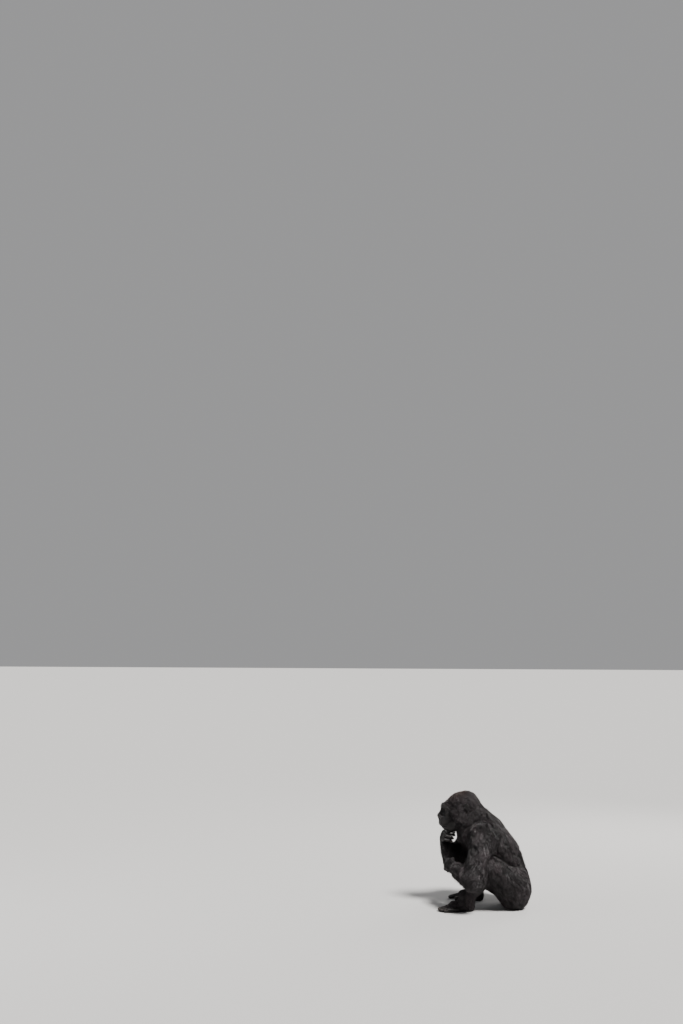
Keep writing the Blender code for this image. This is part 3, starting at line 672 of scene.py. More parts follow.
def refined(mesh, zone):
    """Halves the skin's squares in a zone."""
    fine = bmesh.new()
    fine.from_mesh(mesh)
    inside = zone(np.array([vert.co for vert in fine.verts]))
    edges = [edge for edge in fine.edges if all(inside[vert.index] for vert in edge.verts)]
    bmesh.ops.subdivide_edges(fine, edges=edges, cuts=1, use_grid_fill=True)
    fine.to_mesh(mesh)
    fine.free()


NEARLY_BARE, LONGEST_STEP = 0.011, 0.0015  # depth of coat up to which the skin is moved, and how far at once


def settle(mesh, rounds):
    """Moves the skin's points onto the true surface."""
    for _ in range(rounds):
        points, normals = places_of(mesh), normals_of(mesh)
        near = np.flatnonzero(coat_depth(points) < NEARLY_BARE)
        off = flesh(Places(points[near]))
        points[near] -= normals[near] * np.clip(off, -LONGEST_STEP, LONGEST_STEP)[:, None]
        mesh.vertices.foreach_set("co", points.ravel())
        mesh.update()


def bell(x, middle, width):
    """One at the middle, falling to nothing a little past the width."""
    return np.exp(-((x - middle) / width) ** 2)


def ripple(run, spacing):
    """A wave from -1 to 1."""
    return np.cos(run * 2 * math.pi / spacing)


def folds(points):
    """How far the wrinkles of face and fingers lift the skin: each a height, a wave and where it fades."""
    left, forward, up = in_head(points).T
    side = np.abs(left)
    front = 1 / (1 + np.exp(-(forward - 0.10) / 0.006))
    wander = 0.0012 * np.sin(left * 190) + 0.0010 * np.sin(left * 83 + 1.0)
    ring = np.hypot(side - EYE_SIDE, (up - 0.006) * 1.15)
    eye_rings = 0.00055 * ripple(ring + wander, 0.0042) * bell(ring, 0.0225, 0.0065) * (up < 0.012)
    brow_lines = 0.00045 * ripple(up + wander, 0.0052) * bell(up, 0.036, 0.012) * (side < 0.07)
    frown = 0.0006 * ripple(left, 0.0080) * bell(up, 0.016, 0.010) * bell(left, 0, 0.014)
    across_nose = 0.0004 * ripple(up + wander, 0.0050) * bell(up, -0.006, 0.012) * bell(left, 0, 0.016)
    run = side - 0.036 - (up + 0.045) * -0.42
    cheek_folds = 0.0010 * ripple(run, 0.0085) * bell(run, 0, 0.010) * bell(up, -0.060, 0.028)
    lips = 0.00035 * ripple(left + wander, 0.0036) * bell(up, -0.098, 0.016) * (forward > 0.15)
    muzzle = 0.0003 * ripple(up + wander * 2, 0.0045) * bell(up, -0.078, 0.014) * (forward > 0.14)
    mouth_line = up - (-0.0955 - 3.0 * left ** 2)
    open_width = 1 / (1 + np.exp((side - 0.050) / 0.0025))
    rims, cleft = bell(np.abs(mouth_line), 0.0048, 0.0034), bell(mouth_line, 0, 0.0013)
    mouth = (0.0012 * rims - 0.0036 * cleft) * open_width
    philtrum = -0.0009 * bell(left, 0, 0.0035) * bell(up, -0.076, 0.014) * (forward > 0.15)
    knuckles = 0
    for joint, heading, _, radius in finger_joints():
        run = (points - joint) @ heading
        near = np.exp(-(((points - joint) ** 2).sum(1) / (1.5 * radius) ** 2) ** 2)
        knuckles = knuckles + 0.0005 * near * ripple(run, 0.0040) * bell(run, 0, 0.007)
    face = eye_rings + brow_lines + frown + across_nose + cheek_folds + lips + muzzle + mouth + philtrum
    return front * face + knuckles


def node_maker(tree, family):
    """What adds a node of a family to a tree: each input takes a value, or the output of another node."""
    def add_node(kind, inputs=(), **choices):
        node = tree.nodes.new(family + kind)
        for choice, value in choices.items():
            setattr(node, choice, value)
        feed(node, inputs)
        return node.outputs
    return add_node


def feed(node, inputs):
    """Gives each input of a node its value, or links it to the output given."""
    for name, source in dict(inputs).items():
        if isinstance(source, bpy.types.NodeSocket):
            node.id_data.links.new(source, node.inputs[name])
        else:
            node.inputs[name].default_value = source


def new_material(name):
    """A material, its shader, and what adds a node to it."""
    material = bpy.data.materials.new(name)
    material.use_nodes = True
    tree = material.node_tree
    return material, tree.nodes["Principled BSDF"], node_maker(tree, "ShaderNode")


def colours(material, amount, *stops):
    """A run of colours, each at its place, as an amount goes from 0 to 1."""
    ramp = material.node_tree.nodes.new("ShaderNodeValToRGB")
    places = ramp.color_ramp.elements
    while len(places) < len(stops):
        places.new(0.5)
    for place, (where, colour) in zip(places, stops):
        place.position, place.color = where, (*colour, 1)
    feed(ramp, {"Fac": amount})
    return ramp.outputs["Color"]


DEEP_BLACK, WORN_BLACK = (0.0026, 0.0021, 0.0022), (0.0085, 0.0067, 0.0067)
PATCHES, WORN_SPOTS, CREASES, CRACKS = (38, 5), (150, 3), (210, 6), 520  # to a metre, and how broken up
GRAIN_HEIGHT, CREASE_HEIGHT = 0.0006, 0.0014
SHINY, DULL = 0.36, 0.60


def skin_material():
    """Black, close-grained skin that shines where it is worn and taut."""
    material, shader, node = new_material("skin")
    place = node("TexCoord")["Object"]

    def noise(scale, detail):
        return node("TexNoise", {"Scale": scale, "Detail": detail, "Vector": place})["Fac"]

    cracks = node("TexVoronoi", {"Scale": CRACKS, "Vector": place}, feature="DISTANCE_TO_EDGE")["Distance"]
    grain = node("Bump", {"Strength": 0.7, "Distance": GRAIN_HEIGHT, "Height": cracks})["Normal"]
    creases = {"Strength": 0.6, "Distance": CREASE_HEIGHT, "Height": noise(*CREASES), "Normal": grain}
    feed(shader, {
        "Specular IOR Level": 0.24,
        "Base Color": colours(material, noise(*PATCHES), (0.30, DEEP_BLACK), (0.72, WORN_BLACK)),
        "Roughness": node("MapRange", {"Value": noise(*WORN_SPOTS), "To Min": SHINY, "To Max": DULL})[0],
        "Normal": node("Bump", creases)["Normal"]})
    return material


ORIGIN = (0.0316, -0.0055, 0)  # the middle of the animal's box, at the floor, in the frame of its joints


def finished(name, mesh, material, *nodes, slot=None):
    """Puts a finished mesh in its place as a piece of the animal, instead of nodes of its rough body."""
    mesh.name = name
    mesh.transform(Matrix.Translation(ORIGIN).inverted())
    if material is not None:
        mesh.materials.clear()
        mesh.materials.append(material)
    thing = put_in_scene(name, mesh)
    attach(thing, "root")
    if nodes:
        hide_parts(*nodes)


skin_data = skin_mesh()
refined(skin_data, lambda points: on_face_and_ears(points) | on_joints(points))
settle(skin_data, 2)
refined(skin_data, on_lids_and_lips)
settle(skin_data, 3)
skin_points = places_of(skin_data) + normals_of(skin_data) * folds(places_of(skin_data))[:, None]
skin_data.vertices.foreach_set("co", skin_points.astype(np.float32).ravel())
skin_data.shade_smooth()
bare_skin = skin_data.copy()  # kept in the frame of the joints, for the coat to grow on
flesh_nodes = [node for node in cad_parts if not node.startswith("eye")]
finished("skin", skin_data, skin_material(), *flesh_nodes, slot="skin")


# ---------------------------------------------------------------- eyes

# Each eye is a glass ball with a raised cornea over a dark brown iris, painted from behind. It is set deep
# under the brow, behind the slit between the lids, and looks the way that the head faces.

EYE_RADIUS, IRIS_RADIUS, PUPIL_RADIUS = 0.0125, 0.0064, 0.0027
CORNEA_RISE, CORNEA_WIDTH = 0.0012, 1.25  # its height, and its width as a share of that of the iris
GAZE_OUT = {"L": 6, "R": -6}  # degrees that each eye looks outwards


def eyeball(name, centre):
    """A ball with its pole on the line of sight, and a dome over the iris."""
    ball, dome = bmesh.new(), IRIS_RADIUS * CORNEA_WIDTH
    bmesh.ops.create_uvsphere(ball, u_segments=48, v_segments=40, radius=EYE_RADIUS)
    for vert in ball.verts:
        away = math.hypot(vert.co.x, vert.co.y)
        if vert.co.z > 0 and away < dome:
            vert.co.z += CORNEA_RISE * (1 - (away / dome) ** 2)
    sight = Matrix.Rotation(math.radians(GAZE_OUT[name]), 3, "Z") @ Vector(HEAD_AXES @ (0, 1, 0))
    ball.transform(Matrix.Translation(centre) @ sight.to_track_quat("Z", "Y").to_matrix().to_4x4())
    mesh = bpy.data.meshes.new("eye")
    ball.to_mesh(mesh)
    ball.free()
    mesh.shade_smooth()
    return mesh, sight


PUPIL, INNER_IRIS, OUTER_IRIS = (0.001, 0.001, 0.001), (0.030, 0.011, 0.005), (0.019, 0.0065, 0.0032)
IRIS_EDGE, EYE_WHITE, BACK_OF_EYE = (0.003, 0.002, 0.0015), (0.014, 0.009, 0.007), (0.030, 0.020, 0.016)


def eye_material(name, centre, sight):
    """Dark brown iris with a black pupil, in a nearly black white, under a wet film."""
    material, shader, node = new_material("eye_" + name)
    turn = node("Mapping", {
        "Location": Vector(centre) - Vector(ORIGIN), "Rotation": sight.to_track_quat("Z", "Y").to_euler(),
        "Vector": node("TexCoord")["Object"]}, vector_type="TEXTURE")
    split = node("SeparateXYZ", {"Vector": turn["Vector"]})
    flat = node("CombineXYZ", {"X": split["X"], "Y": split["Y"]})
    away = node("VectorMath", {0: flat["Vector"]}, operation="LENGTH")["Value"]
    share = node("Math", {0: away, 1: EYE_RADIUS}, operation="DIVIDE")["Value"]
    pupil, iris = PUPIL_RADIUS / EYE_RADIUS, IRIS_RADIUS / EYE_RADIUS
    feed(shader, {
        "Roughness": 0.16, "Coat Weight": 0.35, "Coat Roughness": 0.03,
        "Base Color": colours(material, share, (0, PUPIL), (pupil, PUPIL), (pupil + 0.03, INNER_IRIS),
                              (0.42, OUTER_IRIS), (iris, IRIS_EDGE), (0.62, EYE_WHITE), (1.0, BACK_OF_EYE))})
    return material


for eye_name, eye_centre in eyes().items():
    eye_mesh, line_of_sight = eyeball(eye_name, eye_centre)
    eye_look = eye_material(eye_name, eye_centre, line_of_sight)
    finished("eye_" + eye_name + "_ball", eye_mesh, eye_look, "eye_" + eye_name, slot="eye")


# ---------------------------------------------------------------- nails

# The nails are flat and nearly black, one on each finger and toe. Each is a thin plate of horn, curved across
# and along, and pressed into the back of the fingertip.

NAIL_LENGTH, NAIL_WIDTH, NAIL_THICKNESS = 1.25, 1.30, 0.10  # as shares of the radius of a fingertip
NAIL_CURVE_ACROSS, NAIL_CURVE_ALONG = 0.62, 0.16
NAIL_BEHIND, ROUNDED_FROM = 0.25, 0.55  # shares of its length behind the origin, and before its rounded end


def nail_plate():
    """One nail for a fingertip of radius 1, its root at the origin, along +Y, with +Z out of its back."""
    plate, across, along = bmesh.new(), 8, 7
    for wall in (0, -NAIL_THICKNESS):
        for j in range(along + 1):
            for i in range(across + 1):
                s, t = 2 * i / across - 1, j / along
                rounding = max((t - ROUNDED_FROM) / 0.5, 0) ** 2 * 0.75
                width = NAIL_WIDTH / 2 * math.sqrt(max(1 - rounding, 0.05))
                plate.verts.new((s * width, (t - NAIL_BEHIND) * NAIL_LENGTH,
                                 wall - NAIL_CURVE_ACROSS * (s * width) ** 2 - NAIL_CURVE_ALONG * t * t))
    plate.verts.ensure_lookup_table()
    plate.verts.index_update()
    row, layer = across + 1, (across + 1) * (along + 1)
    for j in range(along):
        for i in range(across):
            ring = [j * row + i, j * row + i + 1, (j + 1) * row + i + 1, (j + 1) * row + i]
            plate.faces.new([plate.verts[k] for k in ring])
            plate.faces.new([plate.verts[k + layer] for k in reversed(ring)])
    for edge in [edge for edge in plate.edges if edge.is_boundary and edge.verts[0].index < layer]:
        a, b = (vert.index for vert in edge.verts)
        plate.faces.new([plate.verts[k] for k in (a, b, b + layer, a + layer)])
    bmesh.ops.recalc_face_normals(plate, faces=plate.faces)
    mesh = bpy.data.meshes.new("nail_plate")
    plate.to_mesh(mesh)
    plate.free()
    mesh.shade_smooth()
    return put_in_scene("nail_plate", mesh)


DARK_HORN, PALE_HORN = (0.013, 0.010, 0.009), (0.042, 0.033, 0.028)


def nail_material():
    """Horn, black and half glossy, finely pitted."""
    material, shader, node = new_material("nail")
    pits = node("TexNoise", {"Scale": 420, "Detail": 4, "Vector": node("TexCoord")["Object"]})["Fac"]
    feed(shader, {
        "Roughness": 0.30, "Base Color": colours(material, pits, (0, DARK_HORN), (1, PALE_HORN)),
        "Normal": node("Bump", {"Strength": 0.3, "Distance": 0.0004, "Height": pits})["Normal"]})
    return material


def nail_tree(material):
    """Sets a plate on each point, turned and sized by the point's own values."""
    tree = bpy.data.node_groups.new("nails", "GeometryNodeTree")
    for name, way, kind in (("Tips", "INPUT", "Geometry"), ("Plate", "INPUT", "Object"),
                            ("Nails", "OUTPUT", "Geometry")):
        tree.interface.new_socket(name, in_out=way, socket_type="NodeSocket" + kind)
    start, node = node_maker(tree, "Node")("GroupInput"), node_maker(tree, "GeometryNode")
    turn = node("InputNamedAttribute", {"Name": "turn"}, data_type="FLOAT_VECTOR")
    size = node("InputNamedAttribute", {"Name": "size"}, data_type="FLOAT")
    plate = node("ObjectInfo", {"Object": start["Plate"]})
    placed = node("InstanceOnPoints", {"Points": start["Tips"], "Instance": plate["Geometry"],
                                       "Rotation": turn["Attribute"], "Scale": size["Attribute"]})
    real = node("RealizeInstances", {"Geometry": placed["Instances"]})
    done = node("SetMaterial", {"Geometry": real["Geometry"], "Material": material})
    node_maker(tree, "Node")("GroupOutput", {"Nails": done["Geometry"]})
    return tree


NAIL_OUT, NAIL_BACK = 1.13, 0.22  # from the middle of a fingertip, as shares of its radius


def nail_points():
    """A point on the back of each fingertip and toe."""
    places, turns, sizes = [], [], []
    for tips in body()[1].values():
        for tip, heading, back, radius in tips:
            places.append(tip + back * radius * NAIL_OUT - heading * radius * NAIL_BACK)
            side = np.cross(heading, back)
            turns.append(tuple(Matrix(np.array([side, heading, back]).T.tolist()).to_euler()))
            sizes.append(radius)
    mesh = bpy.data.meshes.new("nail_points")
    mesh.from_pydata([tuple(p) for p in places], [], [])
    mesh.attributes.new("turn", "FLOAT_VECTOR", "POINT").data.foreach_set("vector", np.ravel(turns))
    mesh.attributes.new("size", "FLOAT", "POINT").data.foreach_set("value", sizes)
    return put_in_scene("nail_points", mesh)


def nails():
    """All the nails, as one piece."""
    tips, plate = nail_points(), nail_plate()
    maker = tips.modifiers.new("nails", "NODES")
    maker.node_group = nail_tree(nail_material())
    sockets = {item.name: item.identifier for item in maker.node_group.interface.items_tree}
    maker[sockets["Plate"]] = plate
    mesh = plain_mesh(tips)
    bpy.data.objects.remove(plate)
    finished("nails", mesh, None)


nails()


# ---------------------------------------------------------------- coat

# The coat is long, soft black hair, in locks that are each a thin tapering solid of many strands. Every lock
# is set in the skin by its root, rises through the coat and lies over along the body. The longest are on the
# arms, the shortest round the face and on the hands and feet.

def unit(v):
    """Vectors made one long."""
    return v / np.maximum(np.linalg.norm(v, axis=-1, keepdims=True), 1e-9)


def along(start, end, heading, reach, *shares):
    """Arrows of one heading between two joints."""
    start, end = np.array(start), np.array(end)
    return [(start + (end - start) * share, heading, reach) for share in shares]


def both_sides(arrows):
    """Arrows of the left side, and the same on the right."""
    return [((side * x, y, z), (side * left, back, up), reach)
            for side in (1, -1) for (x, y, z), (left, back, up), reach in arrows]


def lie_arrows():
    """Where the hair of each limb lies which way: places, headings and how far each one counts."""
    trunk_arrows = [
        ((0, 0.02, 0.64), (0, 0.60, -0.80), 0.07), ((0, 0.10, 0.56), (0, 0.50, -0.87), 0.08),
        ((0, 0.20, 0.42), (0, 0.30, -0.95), 0.10), ((0, 0.24, 0.28), (0, 0.08, -1.0), 0.10),
        ((0, 0.28, 0.12), (0, -0.10, -1.0), 0.10), ((0, -0.11, 0.50), (0, -0.15, -0.98), 0.07),
        ((0, -0.12, 0.40), (0, 0.00, -1.0), 0.08), ((0, -0.06, 0.22), (0, 0.05, -1.0), 0.10)
    ] + both_sides([
        ((0.14, 0.02, 0.57), (0.60, 0.20, -0.70), 0.07), ((0.21, 0.02, 0.50), (0.40, 0.15, -0.90), 0.07),
        ((0.18, 0.09, 0.38), (0.10, 0.30, -0.95), 0.09), ((0.17, 0.16, 0.24), (0.10, 0.30, -0.95), 0.09),
        ((0.12, 0.26, 0.13), (0.15, 0.05, -1.0), 0.09), ((0.12, -0.09, 0.46), (0.20, -0.05, -0.98), 0.07)])
    head_arrows = [
        ((0, 0.125, 0.060), (0, -0.80, 0.60), 0.035), ((0, 0.06, 0.095), (0, -0.98, 0.15), 0.05),
        ((0, -0.03, 0.075), (0, -0.85, -0.50), 0.05), ((0, -0.07, 0.00), (0, -0.45, -0.90), 0.06),
        ((0, 0.10, -0.13), (0, -0.60, -0.80), 0.05), ((0, 0.03, -0.13), (0, -0.40, -0.90), 0.05)
    ] + both_sides([
        ((0.055, 0.120, 0.050), (0.25, -0.90, 0.20), 0.035),
        ((0.075, 0.070, 0.030), (0.20, -0.95, -0.15), 0.04),
        ((0.080, 0.020, 0.055), (0.15, -0.90, -0.35), 0.04),
        ((0.080, -0.030, 0.010), (0.10, -0.70, -0.70), 0.05),
        ((0.085, 0.090, -0.025), (0.35, -0.75, -0.60), 0.04),
        ((0.085, 0.040, -0.070), (0.25, -0.55, -0.80), 0.05),
        ((0.050, 0.120, -0.110), (0.35, -0.60, -0.75), 0.045)])
    head_arrows = [(on_head(*place), HEAD_AXES @ heading, reach) for place, heading, reach in head_arrows]
    arrows = {"trunk": trunk_arrows, "head": head_arrows}
    near, far, near_hand, far_hand = JOINTS["L"], JOINTS["R"], hand_place("L"), hand_place("R")
    arrows["arm_L"] = (along(near["shoulder"], near["elbow"], (0.35, -0.05, -0.93), 0.09, 0.2, 0.5, 0.8)
                       + along(near["elbow"], near["wrist"], (-0.10, -0.52, -0.84), 0.08, 0.0, 0.3, 0.6, 0.85)
                       + [(near_hand(0, 0.05, 0.01), (-0.80, -0.35, -0.45), 0.06),
                          (near_hand(0, 0.12, 0.00), (-0.90, -0.10, -0.30), 0.05)])
    arrows["arm_R"] = (along(far["shoulder"], far["elbow"], (-0.15, -0.35, -0.92), 0.09, 0.2, 0.5, 0.8)
                       + along(far["elbow"], far["wrist"], (-0.35, 0.10, -0.92), 0.08, 0.1, 0.4, 0.7)
                       + [(far_hand(0, 0.01, 0.01), (-0.15, -0.20, -0.90), 0.05),
                          (far_hand(0, 0.07, 0.02), (0.70, -0.20, 0.10), 0.05),
                          (far_hand(0, 0.13, 0.00), (0.80, 0.20, 0.10), 0.05)])
    for name, side, j in (("leg_L", 1, near), ("leg_R", -1, far)):
        foot_at = foot_place(name[-1])
        arrows[name] = (along(j["hip"], j["knee"], (side * 0.25, 0.50, -0.80), 0.10, 0.2, 0.5, 0.8)
                        + [(np.array(j["knee"]) + (0, -0.03, 0.03), (side * 0.30, 0.05, -0.95), 0.07)]
                        + along(j["knee"], j["ankle"], (side * 0.12, -0.10, -0.98), 0.09, 0.3, 0.6, 0.9)
                        + [(foot_at(0, 0.08, 0.05), np.array(j["foot"]) + (side * 0.1, 0, -0.1), 0.06)])
    return arrows


ARROWS = [tuple(np.array(column) for column in zip(*lie_arrows()[limb])) for limb in body()[0]]
LIMB_BLEND = 0.012  # width over which the lie of the hair passes from limb to limb


def limb_shares(points):
    """How much of each limb is in points on or over the skin."""
    places = Places(points)
    off = [add(places, np.full(len(points), FAR, np.float32), shapes, 0) for shapes in body()[0].values()]
    off = np.stack(off, 1)
    share = np.exp(-(off - off.min(1, keepdims=True)) / LIMB_BLEND)
    return share / share.sum(1, keepdims=True)


def lie(points, shares):
    """The way that the hair lies."""
    total = 0
    for column, (places, headings, reaches) in enumerate(ARROWS):
        gap = ((points[:, None] - places) ** 2).sum(2) / reaches ** 2
        weight = np.exp(-(gap - gap.min(1, keepdims=True)))
        total = total + shares[:, column, None] * unit(weight @ headings)
    return unit(total)


def waves(points, length, seed):
    """A smooth random value between about -1 and 1, of a given wavelength."""
    dice = np.random.default_rng(seed)
    ways = unit(dice.normal(size=(6, 3))) * 2 * math.pi / (length * dice.uniform(0.7, 1.5, (6, 1)))
    return np.sin(points @ ways.T + dice.uniform(0, 2 * math.pi, 6)).sum(1) / 2.4


def turned_about(v, axis, angle):
    """Vectors square to their axes, turned about them."""
    return v * np.cos(angle)[:, None] + np.cross(axis, v) * np.sin(angle)[:, None]


JOINT_REACH = 0.024  # of the hair on the back of a finger, from each of its joints


def on_digits(points):
    """Whether points are on the backs of fingers and toes, and whether they are on palms and soles."""
    backs, undersides = np.zeros(len(points), bool), np.zeros(len(points), bool)
    for joint, _, back, radius in finger_joints():
        near = ((points - joint) ** 2).sum(1) < JOINT_REACH ** 2
        backs |= near & ((points - joint) @ back > 0.45 * radius)
    for name in "LR":
        across, down, above = ((points - JOINTS[name]["wrist"]) @ hand_axes(name)).T
        in_hand = (np.abs(across) < 0.07) & (down > 0.015) & (down < 0.20) & (np.abs(above) < 0.09)
        undersides |= in_hand & (above < 0.002)
        across, down, above = ((points - JOINTS[name]["heel"]) @ foot_axes(name)).T
        in_foot = (np.abs(across) < 0.09) & (np.abs(down - 0.08) < 0.14)
        undersides |= in_foot & (above < 0.012)
        backs |= in_foot & (above > 0.026) & (down > 0.13) & (down < 0.185)
    return backs, undersides & ~backs


DEEPEST = 0.036  # that the coat may be


def thickness(points):
    """Depth of the coat at points on or near the skin."""
    return np.clip(skin_field.at(points) - coat_field.at(points), 0, DEEPEST)


EDGE_WIDTH = 0.010  # over which the coat thins out towards bare skin
OF_AROUND = 0.45  # least depth at a point, as a share of the depth round about it
BARE, EDGE_RISE = 0.0022, 0.0035  # depth round about below which no hair grows, and the rise to full growth
ON_DIGITS = 0.22  # share of full growth on the backs of fingers and toes
PRESSED, PRESSED_EDGE = 0.068, 0.02  # depth inside the coat at which limbs press it away
PRESSED_GROWTH, NO_COAT = 0.08, 0.0008  # growth that is left there, and the depth that counts as none
SHORTEST, LONGER_BY_DEPTH, LONGER_ON_ARMS = 0.0065, 1.55, 0.28  # length of a lock
THINNEST, WIDER_BY, FULL_DEPTH, FINER_ON_HEAD = 0.0007, 0.0015, 0.030, 0.20  # width of a lock


def hair_sizes(points):
    """Depth of the coat at points on the skin, their limbs, and the locks' length, width and number."""
    own, over = thickness(points), -coat_field.at(points)
    around = np.mean([thickness(points + EDGE_WIDTH * way) for way in np.vstack([np.eye(3), -np.eye(3)])], 0)
    depth = np.maximum(own, OF_AROUND * around)
    backs, undersides = on_digits(points)
    shares = limb_shares(points)
    _, on_the_head, on_left_arm, _, on_right_arm, _ = shares.T
    length = (SHORTEST + LONGER_BY_DEPTH * depth) * (1 + LONGER_ON_ARMS * (on_left_arm + on_right_arm))
    width = (THINNEST + WIDER_BY * np.clip(depth / FULL_DEPTH, 0, 1)) * (1 - FINER_ON_HEAD * on_the_head)
    growth = np.clip((around - BARE) / EDGE_RISE, 0, 1) ** 1.5
    growth = np.where(backs, np.maximum(growth, ON_DIGITS), growth) * ~undersides
    left, forward, up = in_head(points).T
    on_mouth = (forward > 0.12) & (np.abs(left) < 0.056) & (up < -0.075) & (up > -0.118)
    pressed = np.clip((PRESSED - over) / PRESSED_EDGE, PRESSED_GROWTH, 1)
    growth = growth * ~on_mouth * pressed * (own > NO_COAT)
    return depth, shares, length, width, growth


COVER = 2.85  # how many locks lie over each other
LOCK_AREA = 0.62  # of a lock, as a share of its length by its width


def lock_roots(dice):
    """Roots spread over the skin, closer together where the locks are small."""
    mesh = bare_skin
    mesh.calc_loop_triangles()
    corners = np.empty(len(mesh.loop_triangles) * 3, np.int32)
    mesh.loop_triangles.foreach_get("vertices", corners)
    a, b, c = places_of(mesh)[corners.reshape(-1, 3)].transpose(1, 0, 2).astype(float)
    square = np.cross(b - a, c - a)
    area = np.linalg.norm(square, axis=1) / 2
    _, _, length, width, growth = hair_sizes((a + b + c) / 3)
    wanted = np.cumsum(area * growth * COVER / (LOCK_AREA * length * width))
    marks = np.arange(int(wanted[-1])) + dice.uniform(0, 1, int(wanted[-1]))
    chosen = np.minimum(np.searchsorted(wanted, marks), len(wanted) - 1)
    s, t = dice.uniform(0, 1, (2, len(chosen), 1))
    s, t = np.where(s + t > 1, 1 - s, s), np.where(s + t > 1, 1 - t, t)
    roots = a[chosen] + s * (b - a)[chosen] + t * (c - a)[chosen]
    return roots, unit(square)[chosen]


LEAST_DEPTH = 0.002  # that the coat is taken to have under a lock


def up_through_coat(points):
    """Way out of the body, height over the skin and depth of the coat."""
    skin_off, coat_off = skin_field.at(points), coat_field.at(points)
    share = np.clip(skin_off / np.maximum(skin_off - coat_off, 1e-4), 0, 1)[:, None]
    out = unit(skin_field.slope(points) * (1 - share) + coat_field.slope(points) * share)
    return out, skin_off, np.clip(skin_off - coat_off, LEAST_DEPTH, DEEPEST)


STATIONS = np.array((0, 0.28, 0.58, 0.84, 1.0))  # shares of a lock's length
RISE = np.array((-0.03, 0.62, 0.92, 0.99, 0.97))  # share of the coat's depth at each
ROOT_DEPTH, DROOP = 0.0010, 0.18  # of a lock in the skin, and how much more its tip hangs than its root
STRAY, SWIRL, SMALL_SWIRL = 0.15, 0.30, 0.15  # how far locks turn out of their lie, in radians
SWIRL_WIDTH, SMALL_SWIRL_WIDTH = 0.09, 0.028
SUNK, LOOSE = 0.40, 0.02  # how far down the lowest locks lie, and the share of locks that stand out
LOOSE_HEIGHT = 1.00, 1.18  # of those, as a share of the coat's depth
OVER_OWN_DEPTH, LEAST_RISE = 1.2, 0.003  # how high a lock may rise: a share of the depth at its root, or more


def lock_paths(roots, normals, depth, shares, length, sunk, dice):
    """The middle line of each lock, and the way out of the body at each of its stations."""
    count = len(roots)
    swirls = SWIRL * waves(roots, SWIRL_WIDTH, 11), SMALL_SWIRL * waves(roots, SMALL_SWIRL_WIDTH, 12)
    stray = dice.normal(0, STRAY, count) + swirls[0] + swirls[1]
    height = (1 - SUNK * dice.uniform(0, 1, count) ** 1.6) * (1 - SUNK * sunk)
    loose = dice.uniform(0, 1, count) < LOOSE
    height = np.where(loose, dice.uniform(*LOOSE_HEIGHT, count), height)
    place = roots - normals * ROOT_DEPTH
    path, outs = [place], [normals]
    highest = np.maximum(depth * OVER_OWN_DEPTH, LEAST_RISE)
    for k in range(1, len(STATIONS)):
        out, _, _ = up_through_coat(place)
        heading = lie(place, shares) + np.array((0, 0, -DROOP * STATIONS[k]))
        heading = unit(heading - out * (heading * out).sum(1, keepdims=True))
        heading = turned_about(heading, out, stray)
        place = place + heading * (length * (STATIONS[k] - STATIONS[k - 1]))[:, None]
        for _ in range(2):  # moved out to its height, and once more from there
            out, over_skin, local_depth = up_through_coat(place)
            target = RISE[k] * height * np.minimum(local_depth, highest)
            place = place + out * (target - over_skin)[:, None]
        path.append(place)
        outs.append(out)
    return np.stack(path, 1), np.stack(outs, 1)


def finder(spots):
    """What tells the number of the spot that is nearest to each of some points."""
    tree = kdtree.KDTree(len(spots))
    for row, spot in enumerate(spots):
        tree.insert(spot, row)
    tree.balance()
    return lambda points: np.array([tree.find(point)[1] for point in points])


IN_A_BUNCH = 14, 110  # locks in a small bunch and in a large one


def bunch_of(points, members, dice):
    """The leader of the bunch that each point belongs to, and how far down each bunch lies, from 0 to 1."""
    leaders = dice.choice(len(points), max(len(points) // members, 1), replace=False)
    own = finder(points[leaders])(points)
    return leaders[own], dice.uniform(0, 1, len(leaders))[own]


LOCKS_TO_A_SPOT = 7
STREAK_STEPS = np.linspace(-0.048, 0.048, 11)
STREAK_CONTRAST = 2.8


def streaks(points, ways, dice):
    """Streaks along the lie of the hair, from 0 to 1, that sink locks and paint light and shade: the mean of
    many small spots up and down it.
    """
    nearest = finder(points[dice.choice(len(points), len(points) // LOCKS_TO_A_SPOT, replace=False)])
    light_and_shade_values, total = dice.uniform(0, 1, len(points) // LOCKS_TO_A_SPOT), np.zeros(len(points))
    for step in STREAK_STEPS:
        total += light_and_shade_values[nearest(points + step * ways)]
    return np.clip(0.5 + STREAK_CONTRAST * (total / len(STREAK_STEPS) - 0.5), 0, 1)


PULLS, PULL_CURVES = (0.40, 0.34), (1.5, 1.8)  # of a small bunch and of a large one on the tips of its locks


def gathered(path, bunches):
    """Locks drawn together towards their tips, in small bunches and in larger ones."""
    for (leaders, _), pull, power in zip(bunches, PULLS, PULL_CURVES):
        share = (pull * STATIONS ** power)[None, :, None]
        path = path + share * (path[leaders] - path)
    return path


ROLL, RIDGE = 0.35, 0.75  # how far locks roll over, in radians, and a lock's height as a share of its width


def lock_solids(path, outs, width, dice):
    """Corners of three-sided tapering solids along the paths."""
    count, rings = len(path), path.shape[1] - 1
    steps = unit(np.diff(path, axis=1))
    headings = unit(np.concatenate([steps[:, :1], steps[:, :-1] + steps[:, 1:]], 1))
    side = unit(np.cross(headings, outs[:, :-1]))
    roll = np.repeat(dice.normal(0, ROLL, count), rings)
    side = turned_about(side.reshape(-1, 3), headings.reshape(-1, 3), roll).reshape(side.shape)
    half = (width / 2)[:, :, None]
    middle = path[:, :-1]
    ridge = np.cross(side, headings) * half * RIDGE
    ring = np.stack([middle - side * half, middle + side * half, middle + ridge], 2)
    return np.concatenate([ring.reshape(count, -1, 3), path[:, -1:]], 1)


